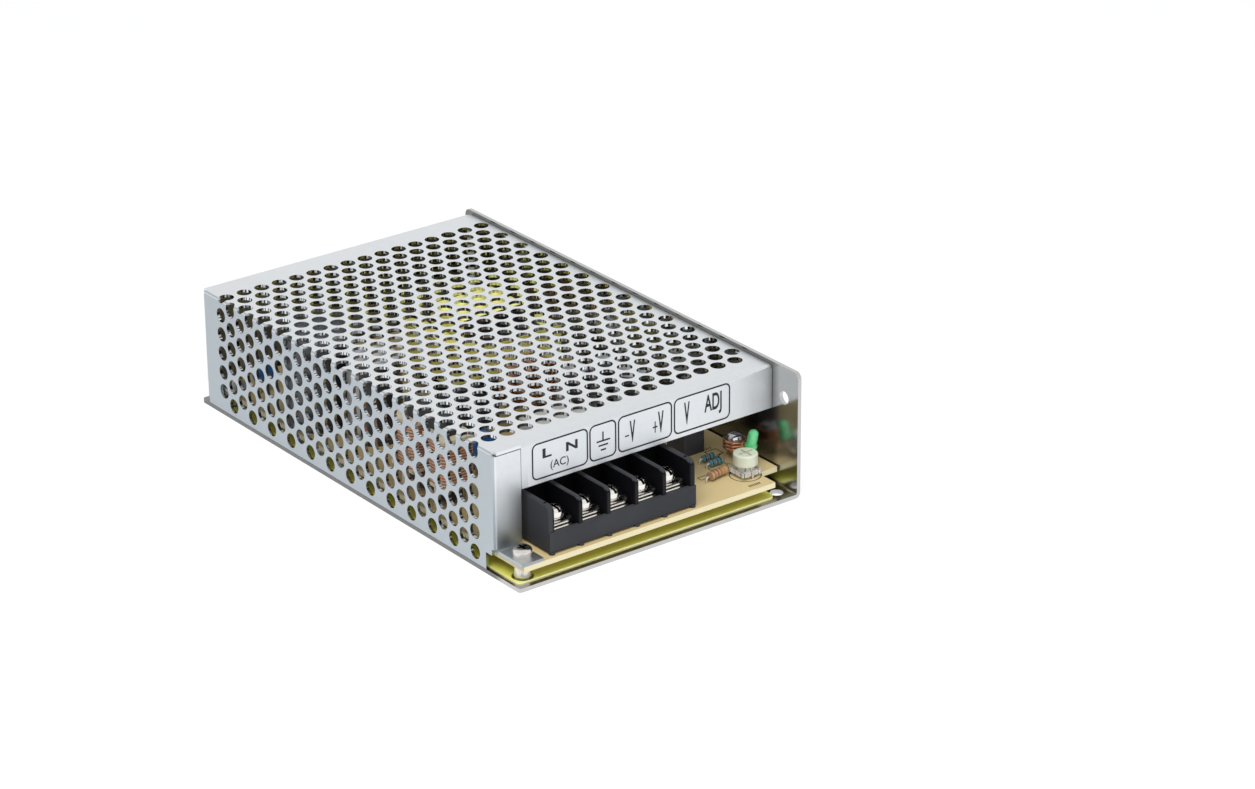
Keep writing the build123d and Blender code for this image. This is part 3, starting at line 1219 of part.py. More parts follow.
# Small output choke: a domed core held above the board by the ends of its turns
(rod_x, rod_y), = from_right(ROD_PLACE)
rod_z = board_top + ROD_STAND
with BuildPart() as filter_choke_core:
    with Locations((rod_x, rod_y, rod_z)):
        Cylinder(ROD_R, ROD_H, align=ON_BASE)
    fillet(filter_choke_core.edges().group_by(Axis.Z)[-1], ROD_DOME)
filter_choke_core.part.label = "filter_choke_core"
export_step(filter_choke_core.part, "parts/filter_choke_core.step")

turn_r = ROD_TURN_R - ROD_WIRE_R
turns_z = rod_z + ROD_WIRE_R + ROD_TURN_GAP
with BuildPart() as filter_choke_winding:
    for turn in range(ROD_TURNS):
        with Locations((rod_x, rod_y, turns_z + turn * ROD_TURN_PITCH)):
            Torus(turn_r, ROD_WIRE_R)
    with Locations((rod_x, rod_y - turn_r, board_top), (rod_x, rod_y + turn_r, board_top)):
        Cylinder(ROD_END_R, turns_z + (ROD_TURNS - 1) * ROD_TURN_PITCH - board_top, align=ON_BASE)
filter_choke_winding.part.label = "filter_choke_winding"
export_step(filter_choke_winding.part, "parts/filter_choke_winding.step")


def axial_resistor(body_l, body_r, span, height):
    """Resistor along X above the origin, on a wire bent down to the board at each end."""
    with BuildPart() as resistor:
        with BuildLine():
            FilletPolyline(
                (-span / 2, 0, 0), (-span / 2, 0, height), (span / 2, 0, height), (span / 2, 0, 0),
                radius=LEAD_BEND,
            )
        with BuildSketch(Plane(origin=(-span / 2, 0, 0))):
            Circle(RESISTOR_LEAD_R)
        sweep()
        end_l = body_l * RES_END_SHARE
        end_x = (body_l - end_l) / 2
        with Locations(Location((0, 0, height), (0, 90, 0))):
            Cylinder(body_r, body_l)
        with Locations(Location((-end_x, 0, height), (0, 90, 0)), Location((end_x, 0, height), (0, 90, 0))):
            Cylinder(body_r * (1 + RES_END_OVER), end_l)
    return resistor.part


with BuildPart() as film_resistors:
    with Locations([(x, y, board_top) for x, y in from_right(*FILM_RES_PLACES)]):
        add(axial_resistor(FILM_RES_L, FILM_RES_R, FILM_RES_SPAN, FILM_RES_H))
film_resistors.part.label = "film_resistors"
export_step(film_resistors.part, "parts/film_resistors.step")

(carbon_x, carbon_y), = from_right(CARBON_PLACE)
with BuildPart() as carbon_resistor:
    with Locations(Location((carbon_x, carbon_y, board_top), (0, 0, CARBON_TURN))):
        add(axial_resistor(CARBON_L, CARBON_R, CARBON_SPAN, CARBON_H))
carbon_resistor.part.label = "carbon_resistor"
export_step(carbon_resistor.part, "parts/carbon_resistor.step")
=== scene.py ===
import math

import bmesh
import bpy
from mathutils import Matrix, Vector


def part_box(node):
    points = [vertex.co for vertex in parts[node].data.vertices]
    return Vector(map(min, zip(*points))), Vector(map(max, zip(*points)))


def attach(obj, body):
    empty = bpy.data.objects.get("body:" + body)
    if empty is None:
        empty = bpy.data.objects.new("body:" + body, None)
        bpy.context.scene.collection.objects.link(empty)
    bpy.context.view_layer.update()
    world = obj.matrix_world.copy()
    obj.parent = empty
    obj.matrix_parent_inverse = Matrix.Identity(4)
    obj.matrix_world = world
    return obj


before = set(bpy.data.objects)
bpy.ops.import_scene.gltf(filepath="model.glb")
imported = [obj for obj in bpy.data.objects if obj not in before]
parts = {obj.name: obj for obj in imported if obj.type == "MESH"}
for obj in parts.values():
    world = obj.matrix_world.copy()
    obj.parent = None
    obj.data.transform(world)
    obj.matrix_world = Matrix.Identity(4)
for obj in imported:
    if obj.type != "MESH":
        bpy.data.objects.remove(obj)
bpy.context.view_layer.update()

# Camera: a long lens that looks down on the terminal end from the left.
# Place and turn were solved from the case's straight edges in the photograph, 1255 x 789 pixels.
MM = 0.001
PHOTO_WIDTH = 1255
FOCAL_PIXELS = 4208.7
SENSOR_WIDTH = 36.0
CAMERA_PLACE = Vector((-632.69, -897.88, 507.80)) * MM
CAMERA_HEADING = math.radians(37.181)
CAMERA_DOWN = math.radians(24.106)
CAMERA_ROLL = math.radians(-0.363)

camera = bpy.data.objects.new("camera", bpy.data.cameras.new("camera"))
bpy.context.scene.collection.objects.link(camera)
bpy.context.scene.camera = camera
camera.data.sensor_fit = "HORIZONTAL"
camera.data.sensor_width = SENSOR_WIDTH
camera.data.lens = FOCAL_PIXELS / PHOTO_WIDTH * SENSOR_WIDTH
camera.data.clip_start = 0.05
camera.data.clip_end = 20.0
camera.matrix_world = (
    Matrix.Translation(CAMERA_PLACE)
    @ Matrix.Rotation(-CAMERA_HEADING, 4, "Z")
    @ Matrix.Rotation(math.pi / 2 - CAMERA_DOWN, 4, "X")
    @ Matrix.Rotation(CAMERA_ROLL, 4, "Z")
)

# Studio: a white table in white surroundings, a large soft lamp above the front left corner and a weak
# one low in front. Camera and see-through rays meet white, and the table keeps the part's shadow.
# Mirror rays meet the white surroundings, a table that is only partly white, and neither lamp.
WORLD_LEVEL = 0.34
FLOOR_COLOR = (0.92, 0.93, 0.94, 1.0)
FLOOR_HALF = 3.0
FLOOR_DROP = 0.05 * MM
FLOOR_GLOW = 0.80
FLOOR_GLOW_STRENGTH = 1.04
FLOOR_MIRRORED = 0.30

scene = bpy.context.scene
scene.view_settings.view_transform = "Standard"


class Amount:
    """What one shader socket carries. Each arithmetic operator on it adds one Math node."""

    def __init__(self, shading, socket):
        self.shading = shading
        self.socket = socket

    def math(self, operation, *values):
        return self.shading.node("ShaderNodeMath", {"operation": operation}, dict(enumerate(values)))

    def __add__(self, other):
        return self.math("ADD", self, other)

    def __sub__(self, other):
        return self.math("SUBTRACT", self, other)

    def __rsub__(self, other):
        return self.math("SUBTRACT", other, self)

    def __mul__(self, other):
        return self.math("MULTIPLY", self, other)

    def __truediv__(self, other):
        return self.math("DIVIDE", self, other)

    def __gt__(self, other):
        return self.math("GREATER_THAN", self, other)

    def __lt__(self, other):
        return self.math("LESS_THAN", self, other)

    def __abs__(self):
        return self.math("ABSOLUTE", self)

    __radd__ = __add__
    __rmul__ = __mul__

    def larger(self, other):
        return self.math("MAXIMUM", self, other)

    def smaller(self, other):
        return self.math("MINIMUM", self, other)

    def clamped(self):
        """Held between 0 and 1."""
        return self.larger(0.0).smaller(1.0)

    def sine(self):
        return self.math("SINE", self)


class Shading:
    """The shader nodes of a material or of the surroundings."""

    def __init__(self, tree):
        self.tree = tree

    def feed(self, socket, value):
        if isinstance(value, Amount):
            self.tree.links.new(value.socket, socket)
        else:
            socket.default_value = value

    def node(self, kind, settings=None, inputs=None, output=0):
        made = self.tree.nodes.new(kind)
        for name, value in (settings or {}).items():
            setattr(made, name, value)
        for name, value in (inputs or {}).items():
            self.feed(made.inputs[name], value)
        return Amount(self, made.outputs[output])

    def seen_directly(self, mirrored=1.0):
        """1 for camera and see-through rays, mirrored for mirror rays, 0 for light."""
        camera_ray, glass_ray, mirror_ray = [
            self.node("ShaderNodeLightPath", output=f"Is {ray} Ray")
            for ray in ("Camera", "Transmission", "Glossy")
        ]
        return camera_ray.larger(glass_ray).larger(mirror_ray * mirrored)


class Finish(Shading):
    """One node material. What is the same all over is set on the shader's own sockets."""

    def __init__(self, name, **fixed):
        self.material = bpy.data.materials.new(name)
        self.material.use_nodes = True
        super().__init__(self.material.node_tree)
        self.shader = self.tree.nodes["Principled BSDF"]
        self.output = self.tree.nodes["Material Output"]
        self.set(**fixed)

    def set(self, **values):
        for name, value in values.items():
            self.feed(self.shader.inputs[name.replace("_", " ")], value)

    def place(self):
        """The point's place in the part's own frame, in metres."""
        return self.node("ShaderNodeTexCoord", output="Object")

    def along(self, axis):
        """The place along X, Y or Z, in millimetres."""
        return self.node("ShaderNodeSeparateXYZ", {}, {0: self.place()}, output=axis) * 1000.0

    def facing(self, axis):
        """How far the surface faces along X, Y or Z, from -1 to 1."""
        normal = self.node("ShaderNodeNewGeometry", output="Normal")
        return self.node("ShaderNodeSeparateXYZ", {}, {0: normal}, output=axis)

    def noise(self, size_mm, detail=3.0, stretch=(1.0, 1.0, 1.0), rough=0.5):
        """Cloudy noise with features of about size_mm, longer along an axis with a small stretch."""
        scaled = self.node("ShaderNodeMapping", {}, {"Vector": self.place(), "Scale": stretch})
        settings = {"Vector": scaled, "Scale": 1000.0 / size_mm, "Detail": detail, "Roughness": rough}
        return self.node("ShaderNodeTexNoise", {}, settings)

    def colors(self, factor, first, second):
        first, second = [color if isinstance(color, Amount) else (*color, 1.0) for color in (first, second)]
        return self.node("ShaderNodeMix", {"data_type": "RGBA"}, {0: factor, 6: first, 7: second}, output=2)

    def bands(self, along, places, width):
        """1 in bands of that width at each place, 0 between them."""
        marks = [abs(along - place) < width / 2 for place in places]
        return sum(marks[1:], marks[0])

    def bump(self, height, depth_mm):
        inputs = {"Height": height, "Distance": depth_mm * MM, "Strength": 1.0}
        self.set(Normal=self.node("ShaderNodeBump", {}, inputs))

    def dress(self, *names):
        """Gives this finish to the CAD nodes of those names."""
        for name in names:
            for slot in parts[name].material_slots:
                slot.material = self.material


world = bpy.data.worlds.new("studio")
scene.world = world
world.use_nodes = True
background = world.node_tree.nodes["Background"]
background.inputs["Color"].default_value = (1.0, 1.0, 1.0, 1.0)
surroundings = Shading(world.node_tree)
surroundings.feed(
    background.inputs["Strength"],
    WORLD_LEVEL + (1.0 - WORLD_LEVEL) * surroundings.seen_directly(),
)

floor_mesh = bpy.data.meshes.new("table")
floor_corners = [(x * FLOOR_HALF, y * FLOOR_HALF, 0) for x, y in ((-1, -1), (1, -1), (1, 1), (-1, 1))]
floor_mesh.from_pydata(floor_corners, [], [(0, 1, 2, 3)])
table_top = bpy.data.objects.new("table_top", floor_mesh)
scene.collection.objects.link(table_top)
table_top.location.z = -FLOOR_DROP
table = Finish("white_table", Roughness=0.9, Base_Color=FLOOR_COLOR)
glow = table.node("ShaderNodeEmission", {}, {"Strength": FLOOR_GLOW_STRENGTH})
lit = Amount(table, table.shader.outputs[0])
glow_share = FLOOR_GLOW * table.seen_directly(FLOOR_MIRRORED)
table.feed(
    table.output.inputs["Surface"],
    table.node("ShaderNodeMixShader", {}, {0: glow_share, 1: lit, 2: glow}),
)
floor_mesh.materials.append(table.material)


def soft_lamp(name, place, size, watts):
    """Adds a round lamp that points at the part and isn't seen in mirrors."""
    lamp = bpy.data.objects.new(name, bpy.data.lights.new(name, "AREA"))
    lamp.data.shape = "DISK"
    lamp.data.size = size
    lamp.data.energy = watts
    lamp.visible_glossy = False
    scene.collection.objects.link(lamp)
    lamp.location = place
    lamp.rotation_euler = (-Vector(place)).to_track_quat("-Z", "Y").to_euler()


soft_lamp("key", (-0.40, -0.50, 1.1), 1.2, 19.0)
soft_lamp("fill", (0.1, -1.2, 0.30), 0.5, 3.5)

# Chassis: base and tall wall folded from one sheet of mill-finish aluminium, with drilled and
# tapped holes. Its face is a blurred mirror, with painted shade that makes it duller and greyer
# where the cover shuts it in.
COVER_EDGE_Y = -71.5
COVER_SHADE_L = 3.0
BASE_BELOW = 5.0
aluminium = Finish("mill_aluminium", Metallic=1.0)
rolled = aluminium.noise(0.6, stretch=(1.0, 0.02, 1.0))
cloud = aluminium.noise(18.0, detail=2.0)
open_face = aluminium.colors(cloud, (0.46, 0.46, 0.46), (0.55, 0.55, 0.54))
# Painted shade: inward faces turn dark grey where the cover shuts them in.
cover_shade = ((aluminium.along(1) - COVER_EDGE_Y) / COVER_SHADE_L).clamped()
base_face = (aluminium.facing(2) > 0.5) * (aluminium.along(2) < BASE_BELOW)
inward = base_face.larger(aluminium.facing(0) < -0.5)
aluminium.set(
    Base_Color=aluminium.colors(cover_shade * inward * 0.75, open_face, (0.10, 0.10, 0.095)),
    Roughness=0.13 + 0.06 * rolled + 0.05 * cloud,
)
aluminium.dress("chassis")

# Insulating sheet: a thin yellow-green polyester film that lies on the base under the board.
# It is glossy, and its cut edges are painted pale, a painted highlight for light that runs inside it.
film = Finish(
    "yellow_green_film",
    Coat_Weight=0.5,
    Coat_Roughness=0.1,
    Subsurface_Weight=0.12,
    Subsurface_Radius=(0.002, 0.002, 0.0006),
)
ripple = film.noise(26.0, detail=1.0)
film_face = film.colors(ripple, (0.80, 0.80, 0.14), (0.86, 0.86, 0.18))
# Painted highlight: the cut edges, which face sideways, are painted pale.
film_edge_highlight = abs(film.facing(2)) < 0.5
film.set(
    Base_Color=film.colors(film_edge_highlight, film_face, (0.96, 0.94, 0.50)),
    Roughness=0.30 + 0.08 * film.noise(3.0),
)
film.bump(ripple, 0.15)
film.dress("insulation_sheet")

# Circuit board: tan paper laminate, punched from a sheet, with paler cut edges, carried by four
# standoffs. Component outlines are screen-printed on it in dark ink.
laminate = Finish("tan_laminate", Coat_Weight=0.15, Coat_Roughness=0.3)
board_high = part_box("circuit_board")[1] / MM
fibre = laminate.noise(1.2, detail=4.0, stretch=(1.0, 0.35, 1.0))
stain = laminate.noise(30.0, detail=2.0)
board_face = laminate.colors(stain, (0.50, 0.39, 0.19), (0.57, 0.46, 0.24))
board_edge = abs(laminate.facing(2)) < 0.5
laminate.set(
    Base_Color=laminate.colors(board_edge * 0.8, board_face, (0.66, 0.60, 0.40)),
    Roughness=0.42 + 0.2 * fibre,
)
laminate.bump(fibre, 0.012)
laminate.dress("circuit_board")

INK_LIFT = 0.03
INK_LINE = 0.48
ink = Finish("printing_ink", Specular_IOR_Level=0.3)
ink.set(
    Base_Color=ink.colors(ink.noise(0.4), (0.012, 0.012, 0.015), (0.026, 0.026, 0.030)),
    Roughness=0.5 + 0.2 * ink.noise(0.2),
)


def arc(x, y, radius, start, end, steps=24):
    """Points of an arc in mm, between two angles in degrees."""
    turns = [math.radians(start + (end - start) * step / steps) for step in range(steps + 1)]
    return [(x + radius * math.cos(turn), y + radius * math.sin(turn)) for turn in turns]


def rounded_frame(x0, y0, x1, y1, radius):
    """Points of a box with rounded corners, between two corners in mm."""
    points = []
    for x, y, start in ((x1, y0, -90), (x1, y1, 0), (x0, y1, 90), (x0, y0, 180)):
        center_x = x + (radius if x == x0 else -radius)
        center_y = y + (radius if y == y0 else -radius)
        points += arc(center_x, center_y, radius, start, start + 90, 6)
    return points


def ink_line(sheet, points, width=INK_LINE, closed=True):
    """Adds a flat line of ink through the points to the sheet, square to its own run."""
    count = len(points)
    rims = []
    for i, point in enumerate(points):
        before = points[i - 1] if closed or i else point
        after = points[(i + 1) % count] if closed or i < count - 1 else point
        run = (Vector(after) - Vector(before)).normalized() * width / 2
        edges = ((point[0] - run.y, point[1] + run.x, 0), (point[0] + run.y, point[1] - run.x, 0))
        rims.append([sheet.verts.new(edge) for edge in edges])
    for i in range(count if closed else count - 1):
        first, second = rims[i], rims[(i + 1) % count]
        sheet.faces.new((first[0], first[1], second[1], second[0]))


def print_on(name, sheet, place):
    """Makes the sheet of ink, drawn in mm, a piece of the housing. The matrix lays it on its surface."""
    mesh = bpy.data.meshes.new(name)
    sheet.transform(place @ Matrix.Scale(MM, 4))
    sheet.to_mesh(mesh)
    sheet.free()
    mesh.materials.append(ink.material)
    piece = bpy.data.objects.new(name, mesh)
    scene.collection.objects.link(piece)
    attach(piece, "housing")


adjuster_low, adjuster_high = [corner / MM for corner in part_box("adjuster_knob")]
adjuster_x, adjuster_y = ((adjuster_low + adjuster_high) / 2).xy
choke_low, choke_high = [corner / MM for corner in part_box("filter_choke_core")]
choke_x, choke_y = ((choke_low + choke_high) / 2).xy
ADJUSTER_RING_R = 4.5
CHOKE_RING_R = 4.6
outlines = bmesh.new()
ink_line(outlines, arc(adjuster_x, adjuster_y, ADJUSTER_RING_R, 0, 345), 0.3)
ink_line(outlines, arc(choke_x, choke_y, CHOKE_RING_R, 100, 330), 0.3, closed=False)
for x0, y0, x1, y1, corner_r, width in (
    (36.6, -54.9, 40.6, -51.4, 0.3, 0.32),
    (36.2, -58.8, 37.9, -55.6, 0.2, 0.3),
    (30.6, -62.2, 36.4, -59.1, 0.2, 0.26),
    (24.4, -65.4, 29.4, -63.6, 0.2, 0.26),
):
    ink_line(outlines, rounded_frame(x0, y0, x1, y1, corner_r), width)
# A row of ticks at the front edge, and a shorter one farther back.
for tick in range(6):
    tick_x = 32.4 + 0.7 * tick
    ink_line(outlines, [(tick_x, -77.3), (tick_x + 0.25, -76.1)], 0.32, closed=False)
    ink_line(outlines, [(tick_x, -76.7), (tick_x + 0.5, -76.65)], 0.22, closed=False)
for tick in range(4):
    tick_x = 37.2 + 0.8 * tick
    ink_line(outlines, [(tick_x, -50.6), (tick_x + 0.15, -49.5)], 0.3, closed=False)
print_on("board_outlines", outlines, Matrix.Translation((0, 0, (board_high.z + INK_LIFT) * MM)))

# Standoffs, screws and nuts: turned and pressed steel with bright nickel plate. Pan heads hold the
# board and the foot tabs, flat heads the cover and the power devices. The recesses are painted dark
# as painted shade.
RECESS_D = 0.9
RECESS_MARGIN = 0.03
# Painted shade: the colour that the cross and slot recesses of screw heads are darkened to.
RECESS_SHADE = (0.09, 0.082, 0.075)


def in_recess(finish, top):
    """1 on the walls and floor of the cross or slot in a screw head with its top at that height in mm."""
    wall = abs(finish.facing(2)) < 0.05
    floor = (finish.facing(2) > 0.98) * (finish.along(2) < top - RECESS_D / 2)
    return wall.larger(floor) * (finish.along(2) > top - RECESS_D - RECESS_MARGIN)


nickel = Finish("bright_nickel", Metallic=1.0)
wear = nickel.noise(0.6)
pan_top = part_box("board_screws")[1].z / MM
nickel_plate = nickel.colors(wear, (0.56, 0.53, 0.49), (0.78, 0.76, 0.72))
# Painted shade: the pan heads' cross recesses darken towards that colour.
nickel.set(
    Base_Color=nickel.colors(in_recess(nickel, pan_top) * 0.8, nickel_plate, RECESS_SHADE),
    Roughness=0.14 + 0.16 * wear,
)
nickel.bump(wear, 0.01)
nickel.dress("standoffs", "board_screws", "cover_screws", "device_screws", "device_nuts")

# Cover: zinc-plated sheet steel, punched all over with round holes and folded into top, side, back
# wall, label strip and foot tabs. Its plate is pale, softly mottled, and smooth where the punch has
# sheared the edge of a hole. Painted shade makes it bluer down the side, darker inside and low on the flange.
zinc = Finish("zinc_plate", Metallic=1.0)
mottle = zinc.noise(2.2, detail=5.0, rough=0.65)
drift = zinc.noise(45.0, detail=2.0)
grain = zinc.noise(0.35, stretch=(1.0, 0.15, 0.15))
tint = zinc.colors(drift, (0.70, 0.725, 0.745), (0.78, 0.80, 0.815))
cover_low, cover_high = [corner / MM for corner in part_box("cover")]
COVER_T = 0.9
MASK_MARGIN = 0.02
FLANGE_RIGHT_X = -37.0
SHADE_FROM_Z = 30.0
SHADE_L = 20.0
punched_top = (abs(zinc.facing(2)) < 0.5) * (zinc.along(2) > cover_high.z - COVER_T + MASK_MARGIN)
punched_side = (abs(zinc.facing(0)) < 0.5) * (zinc.along(0) < cover_low.x + COVER_T - MASK_MARGIN)
punched = punched_top.larger(punched_side)
# Painted shade: the side is painted darker and bluer than the top.
shaded_side = (zinc.facing(0) < -0.5) * (1.0 - punched)
towards_middle = zinc.facing(1) * (1.0 - 2.0 * (zinc.along(1) > 0.0)) > 0.5
# Painted shade: faces inside the cover are painted dark grey.
shaded_inside = (zinc.facing(2) < -0.5).larger(zinc.facing(0) > 0.5)
shaded_inside = shaded_inside.larger(towards_middle) * (1.0 - punched)
plate = zinc.colors(mottle * 0.35, tint, (0.56, 0.60, 0.64))
plate = zinc.colors(shaded_side * 0.75, plate, (0.37, 0.42, 0.455))
# Painted shade: the front flange darkens towards its bottom.
flange = (zinc.facing(1) < -0.5) * (zinc.along(0) < FLANGE_RIGHT_X)
flange_shade = ((SHADE_FROM_Z - zinc.along(2)) / SHADE_L).clamped()
plate = zinc.colors(flange * flange_shade * 0.75, plate, (0.22, 0.25, 0.265))
zinc.set(
    Base_Color=zinc.colors(shaded_inside * 0.8, plate, (0.24, 0.25, 0.25)),
    Roughness=(0.34 + 0.1 * mottle + 0.06 * grain) * (1.0 - 0.75 * punched),
)
zinc.bump(grain * 0.4 + mottle, 0.008)
zinc.dress("cover")

# Label strip's print: plain boxes over the terminals, with the usual marks for live, neutral, earth,
# the two outputs and the voltage adjuster, in the same dark ink.
STRIP_SETBACK = 11.3
LABEL_LOW = 25.3
LABEL_HIGH = 35.65
LABEL_CORNER = 1.6
label_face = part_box("chassis")[0].y / MM + STRIP_SETBACK


def ink_letters(sheet, text, x0, y0, x1, y1, weight):
    """Adds lettering to the sheet, thickened by weight and stretched to fill that box in mm."""
    font = bpy.data.curves.new("lettering", "FONT")
    font.body = text
    font.offset = weight
    holder = bpy.data.objects.new("lettering", font)
    flat = bpy.data.meshes.new_from_object(holder)
    xs = [vertex.co.x for vertex in flat.vertices]
    ys = [vertex.co.y for vertex in flat.vertices]
    wide = (x1 - x0) / (max(xs) - min(xs))
    tall = (y1 - y0) / (max(ys) - min(ys))
    for vertex in flat.vertices:
        vertex.co = ((vertex.co.x - min(xs)) * wide + x0, (vertex.co.y - min(ys)) * tall + y0, 0)
    sheet.from_mesh(flat)
    bpy.data.objects.remove(holder)
    bpy.data.curves.remove(font)
    bpy.data.meshes.remove(flat)


label = bmesh.new()
for x0, x1 in ((-35.45, -17.1), (-16.2, -7.5), (-6.5, 11.7), (12.75, 32.05)):
    ink_line(label, rounded_frame(x0, LABEL_LOW, x1, LABEL_HIGH, LABEL_CORNER))
for text, x0, z0, x1, z1, weight in (
    ("L", -32.1, 30.9, -29.1, 33.75, 0.03),
    ("N", -24.25, 30.8, -20.35, 33.5, 0.03),
    ("(AC)", -29.5, 26.5, -23.4, 29.6, 0.006),
    ("V", -2.7, 27.25, -0.8, 33.75, 0.03),
    ("V", 7.05, 27.3, 9.0, 33.75, 0.03),
    ("V", 16.1, 27.2, 18.05, 33.95, 0.03),
    ("ADJ", 23.2, 27.4, 29.3, 34.1, 0.02),
):
    ink_letters(label, text, x0, z0, x1, z1, weight)
# Strokes of the earth sign, then the minus sign, then the plus sign.
for x0, z0, x1, z1, width in (
    (-11.8, 33.2, -11.8, 30.55, INK_LINE),
    (-14.0, 30.5, -9.4, 30.5, INK_LINE),
    (-13.35, 29.2, -10.1, 29.2, INK_LINE),
    (-12.6, 27.85, -10.8, 27.85, INK_LINE),
    (-4.3, 29.55, -2.95, 29.55, 0.4),
    (5.25, 29.5, 6.85, 29.5, 0.45),
    (6.05, 27.8, 6.05, 31.2, 0.35),
):
    ink_line(label, [(x0, z0), (x1, z1)], width, closed=False)
print_on(
    "label_print",
    label,
    Matrix.Translation((0, (label_face - INK_LIFT) * MM, 0)) @ Matrix.Rotation(math.pi / 2, 4, "X"),
)

# Terminal block: one thermoset moulding, dark blue-grey, with a fine matt skin. Deep inside the
# poles it is painted black as painted shade.
block_plastic = Finish("dark_moulding", Specular_IOR_Level=0.12)
block_low, block_high = [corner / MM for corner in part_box("terminal_block")]
speck = block_plastic.noise(0.25, detail=4.0)
shade = block_plastic.noise(9.0, detail=2.0)
skin = block_plastic.colors(shade, (0.030, 0.031, 0.036), (0.042, 0.044, 0.050))
END_WALL_T = 1.2
DARK_FROM = 0.4
DARK_FADE = 0.5
block_middle = (block_low + block_high) / 2
from_middle = abs(block_plastic.along(0) - block_middle.x)
inside = from_middle < block_high.x - block_middle.x - END_WALL_T
depth = ((block_plastic.along(1) - (block_low.y + DARK_FROM)) / DARK_FADE).clamped()
# Painted shade: faces deep inside the poles fade to black, and get rougher.
deep_shade = depth * inside * (block_plastic.facing(2) < 0.5)
block_plastic.set(
    Base_Color=block_plastic.colors(deep_shade, skin, (0.002, 0.002, 0.003)),
    Roughness=0.46 + 0.14 * speck + 0.2 * deep_shade,
)
block_plastic.bump(speck, 0.012)
block_plastic.dress("terminal_block")

# Terminals: pressed plates, square clamp washers and combination-slot screws, all bright nickel.
# Each screw goes down through its washer into the plate, and its recess is painted dark as painted shade.
terminal_nickel = Finish("terminal_nickel", Metallic=1.0)
press = terminal_nickel.noise(0.8, detail=2.0)
terminal_nickel.set(
    Base_Color=terminal_nickel.colors(press, (0.80, 0.77, 0.72), (0.93, 0.91, 0.88)),
    Roughness=0.10 + 0.12 * press,
)
terminal_nickel.bump(press, 0.02)
terminal_nickel.dress("terminal_plates")
screw_nickel = Finish("terminal_screw_nickel", Metallic=1.0)
turned = screw_nickel.noise(0.8, detail=2.0)
head_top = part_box("terminal_screw_1")[1].z / MM
screw_plate = screw_nickel.colors(turned, (0.72, 0.69, 0.64), (0.90, 0.88, 0.85))
# Painted shade: the slot recesses of the terminal screws darken towards the shade colour.
screw_nickel.set(
    Base_Color=screw_nickel.colors(in_recess(screw_nickel, head_top) * 0.85, screw_plate, RECESS_SHADE),
    Roughness=0.10 + 0.12 * turned,
)
screw_nickel.bump(turned, 0.02)
for pole in range(1, 6):
    terminal_nickel.dress(f"clamp_washer_{pole}")
    screw_nickel.dress(f"terminal_screw_{pole}")

# Adjuster: a trimmer whose body is clear plastic over dark contact springs, and a milky nylon knob
# that turns on its stem.
trimmer = Finish("clear_trimmer_body", Transmission_Weight=0.6, IOR=1.25)
across = trimmer.along(0) - adjuster_x
behind = trimmer.along(1) - adjuster_y
springs = trimmer.bands(across, (-2.9, -0.4, 2.1), 0.22).larger(trimmer.bands(behind, (-2.1, 0.5, 2.9), 0.22))
clear = trimmer.colors(trimmer.noise(1.5), (0.88, 0.87, 0.80), (0.97, 0.96, 0.91))
trimmer.set(
    Base_Color=trimmer.colors(springs, clear, (0.22, 0.20, 0.16)),
    Roughness=0.06 + 0.12 * trimmer.noise(0.7),
)
trimmer.bump(springs, 0.1)
trimmer.dress("adjuster_base")
milky = Finish("milky_nylon", Subsurface_Weight=0.6, Coat_Weight=0.2, Coat_Roughness=0.2)
milky.set(
    Base_Color=milky.colors(milky.noise(2.5), (0.50, 0.53, 0.42), (0.59, 0.61, 0.50)),
    Roughness=0.30 + 0.1 * milky.noise(0.5),
    Subsurface_Radius=(0.0015, 0.0015, 0.0012),
)
milky.bump(milky.noise(0.6), 0.01)
milky.dress("adjuster_knob")

# Lamp: a 3 mm diffused green lens cast round two tinned legs, which stand in the board and lean over
# towards the wall.
LAMP_INSET = 7.2
LAMP_LEAN = math.radians(14.3)
LAMP_STAND = 6.0
lens = Finish("green_lens", Subsurface_Weight=0.5, Coat_Roughness=0.05)
lamp_x = lens.along(0) - (board_high.x - LAMP_INSET)
lamp_run = lamp_x * math.sin(LAMP_LEAN) + (lens.along(2) - board_high.z) * math.cos(LAMP_LEAN)
legs = lamp_run < LAMP_STAND
green = lens.colors(lens.noise(0.8), (0.07, 0.42, 0.16), (0.14, 0.55, 0.25))
lens.set(
    Base_Color=lens.colors(legs, green, (0.72, 0.71, 0.69)),
    Metallic=legs,
    Coat_Weight=0.7 - 0.7 * legs,
    Roughness=0.2 + 0.1 * lens.noise(0.4),
    Subsurface_Radius=(0.0006, 0.0016, 0.0008),
)
lens.dress("power_led")

# Small output choke: a rod core with a bright dipped dome, in a few turns of thick enamelled wire
# whose ends hold it above the board.
dome = Finish("tinned_dome", Metallic=1.0)
dome.set(
    Base_Color=dome.colors(dome.noise(0.7), (0.62, 0.62, 0.64), (0.86, 0.86, 0.88)),
    Roughness=0.10 + 0.15 * dome.noise(0.5),
)
dome.dress("filter_choke_core")
thick_wire = Finish("thick_copper_wire", Coat_Weight=0.6, Coat_Roughness=0.08, Metallic=0.9)
streak = thick_wire.noise(0.6, stretch=(1.0, 1.0, 3.0))
thick_wire.set(
    Base_Color=thick_wire.colors(streak, (0.50, 0.17, 0.07), (0.82, 0.46, 0.28)),
    Roughness=0.18 + 0.12 * streak,
)
thick_wire.dress("filter_choke_winding")

# Resistors: lacquered ceramic rods with swollen ends, ringed with paint, on tinned leads.
# Two are teal film resistors and one a larger tan one.
LEAD_R = 0.3
RING_HALF = 0.21


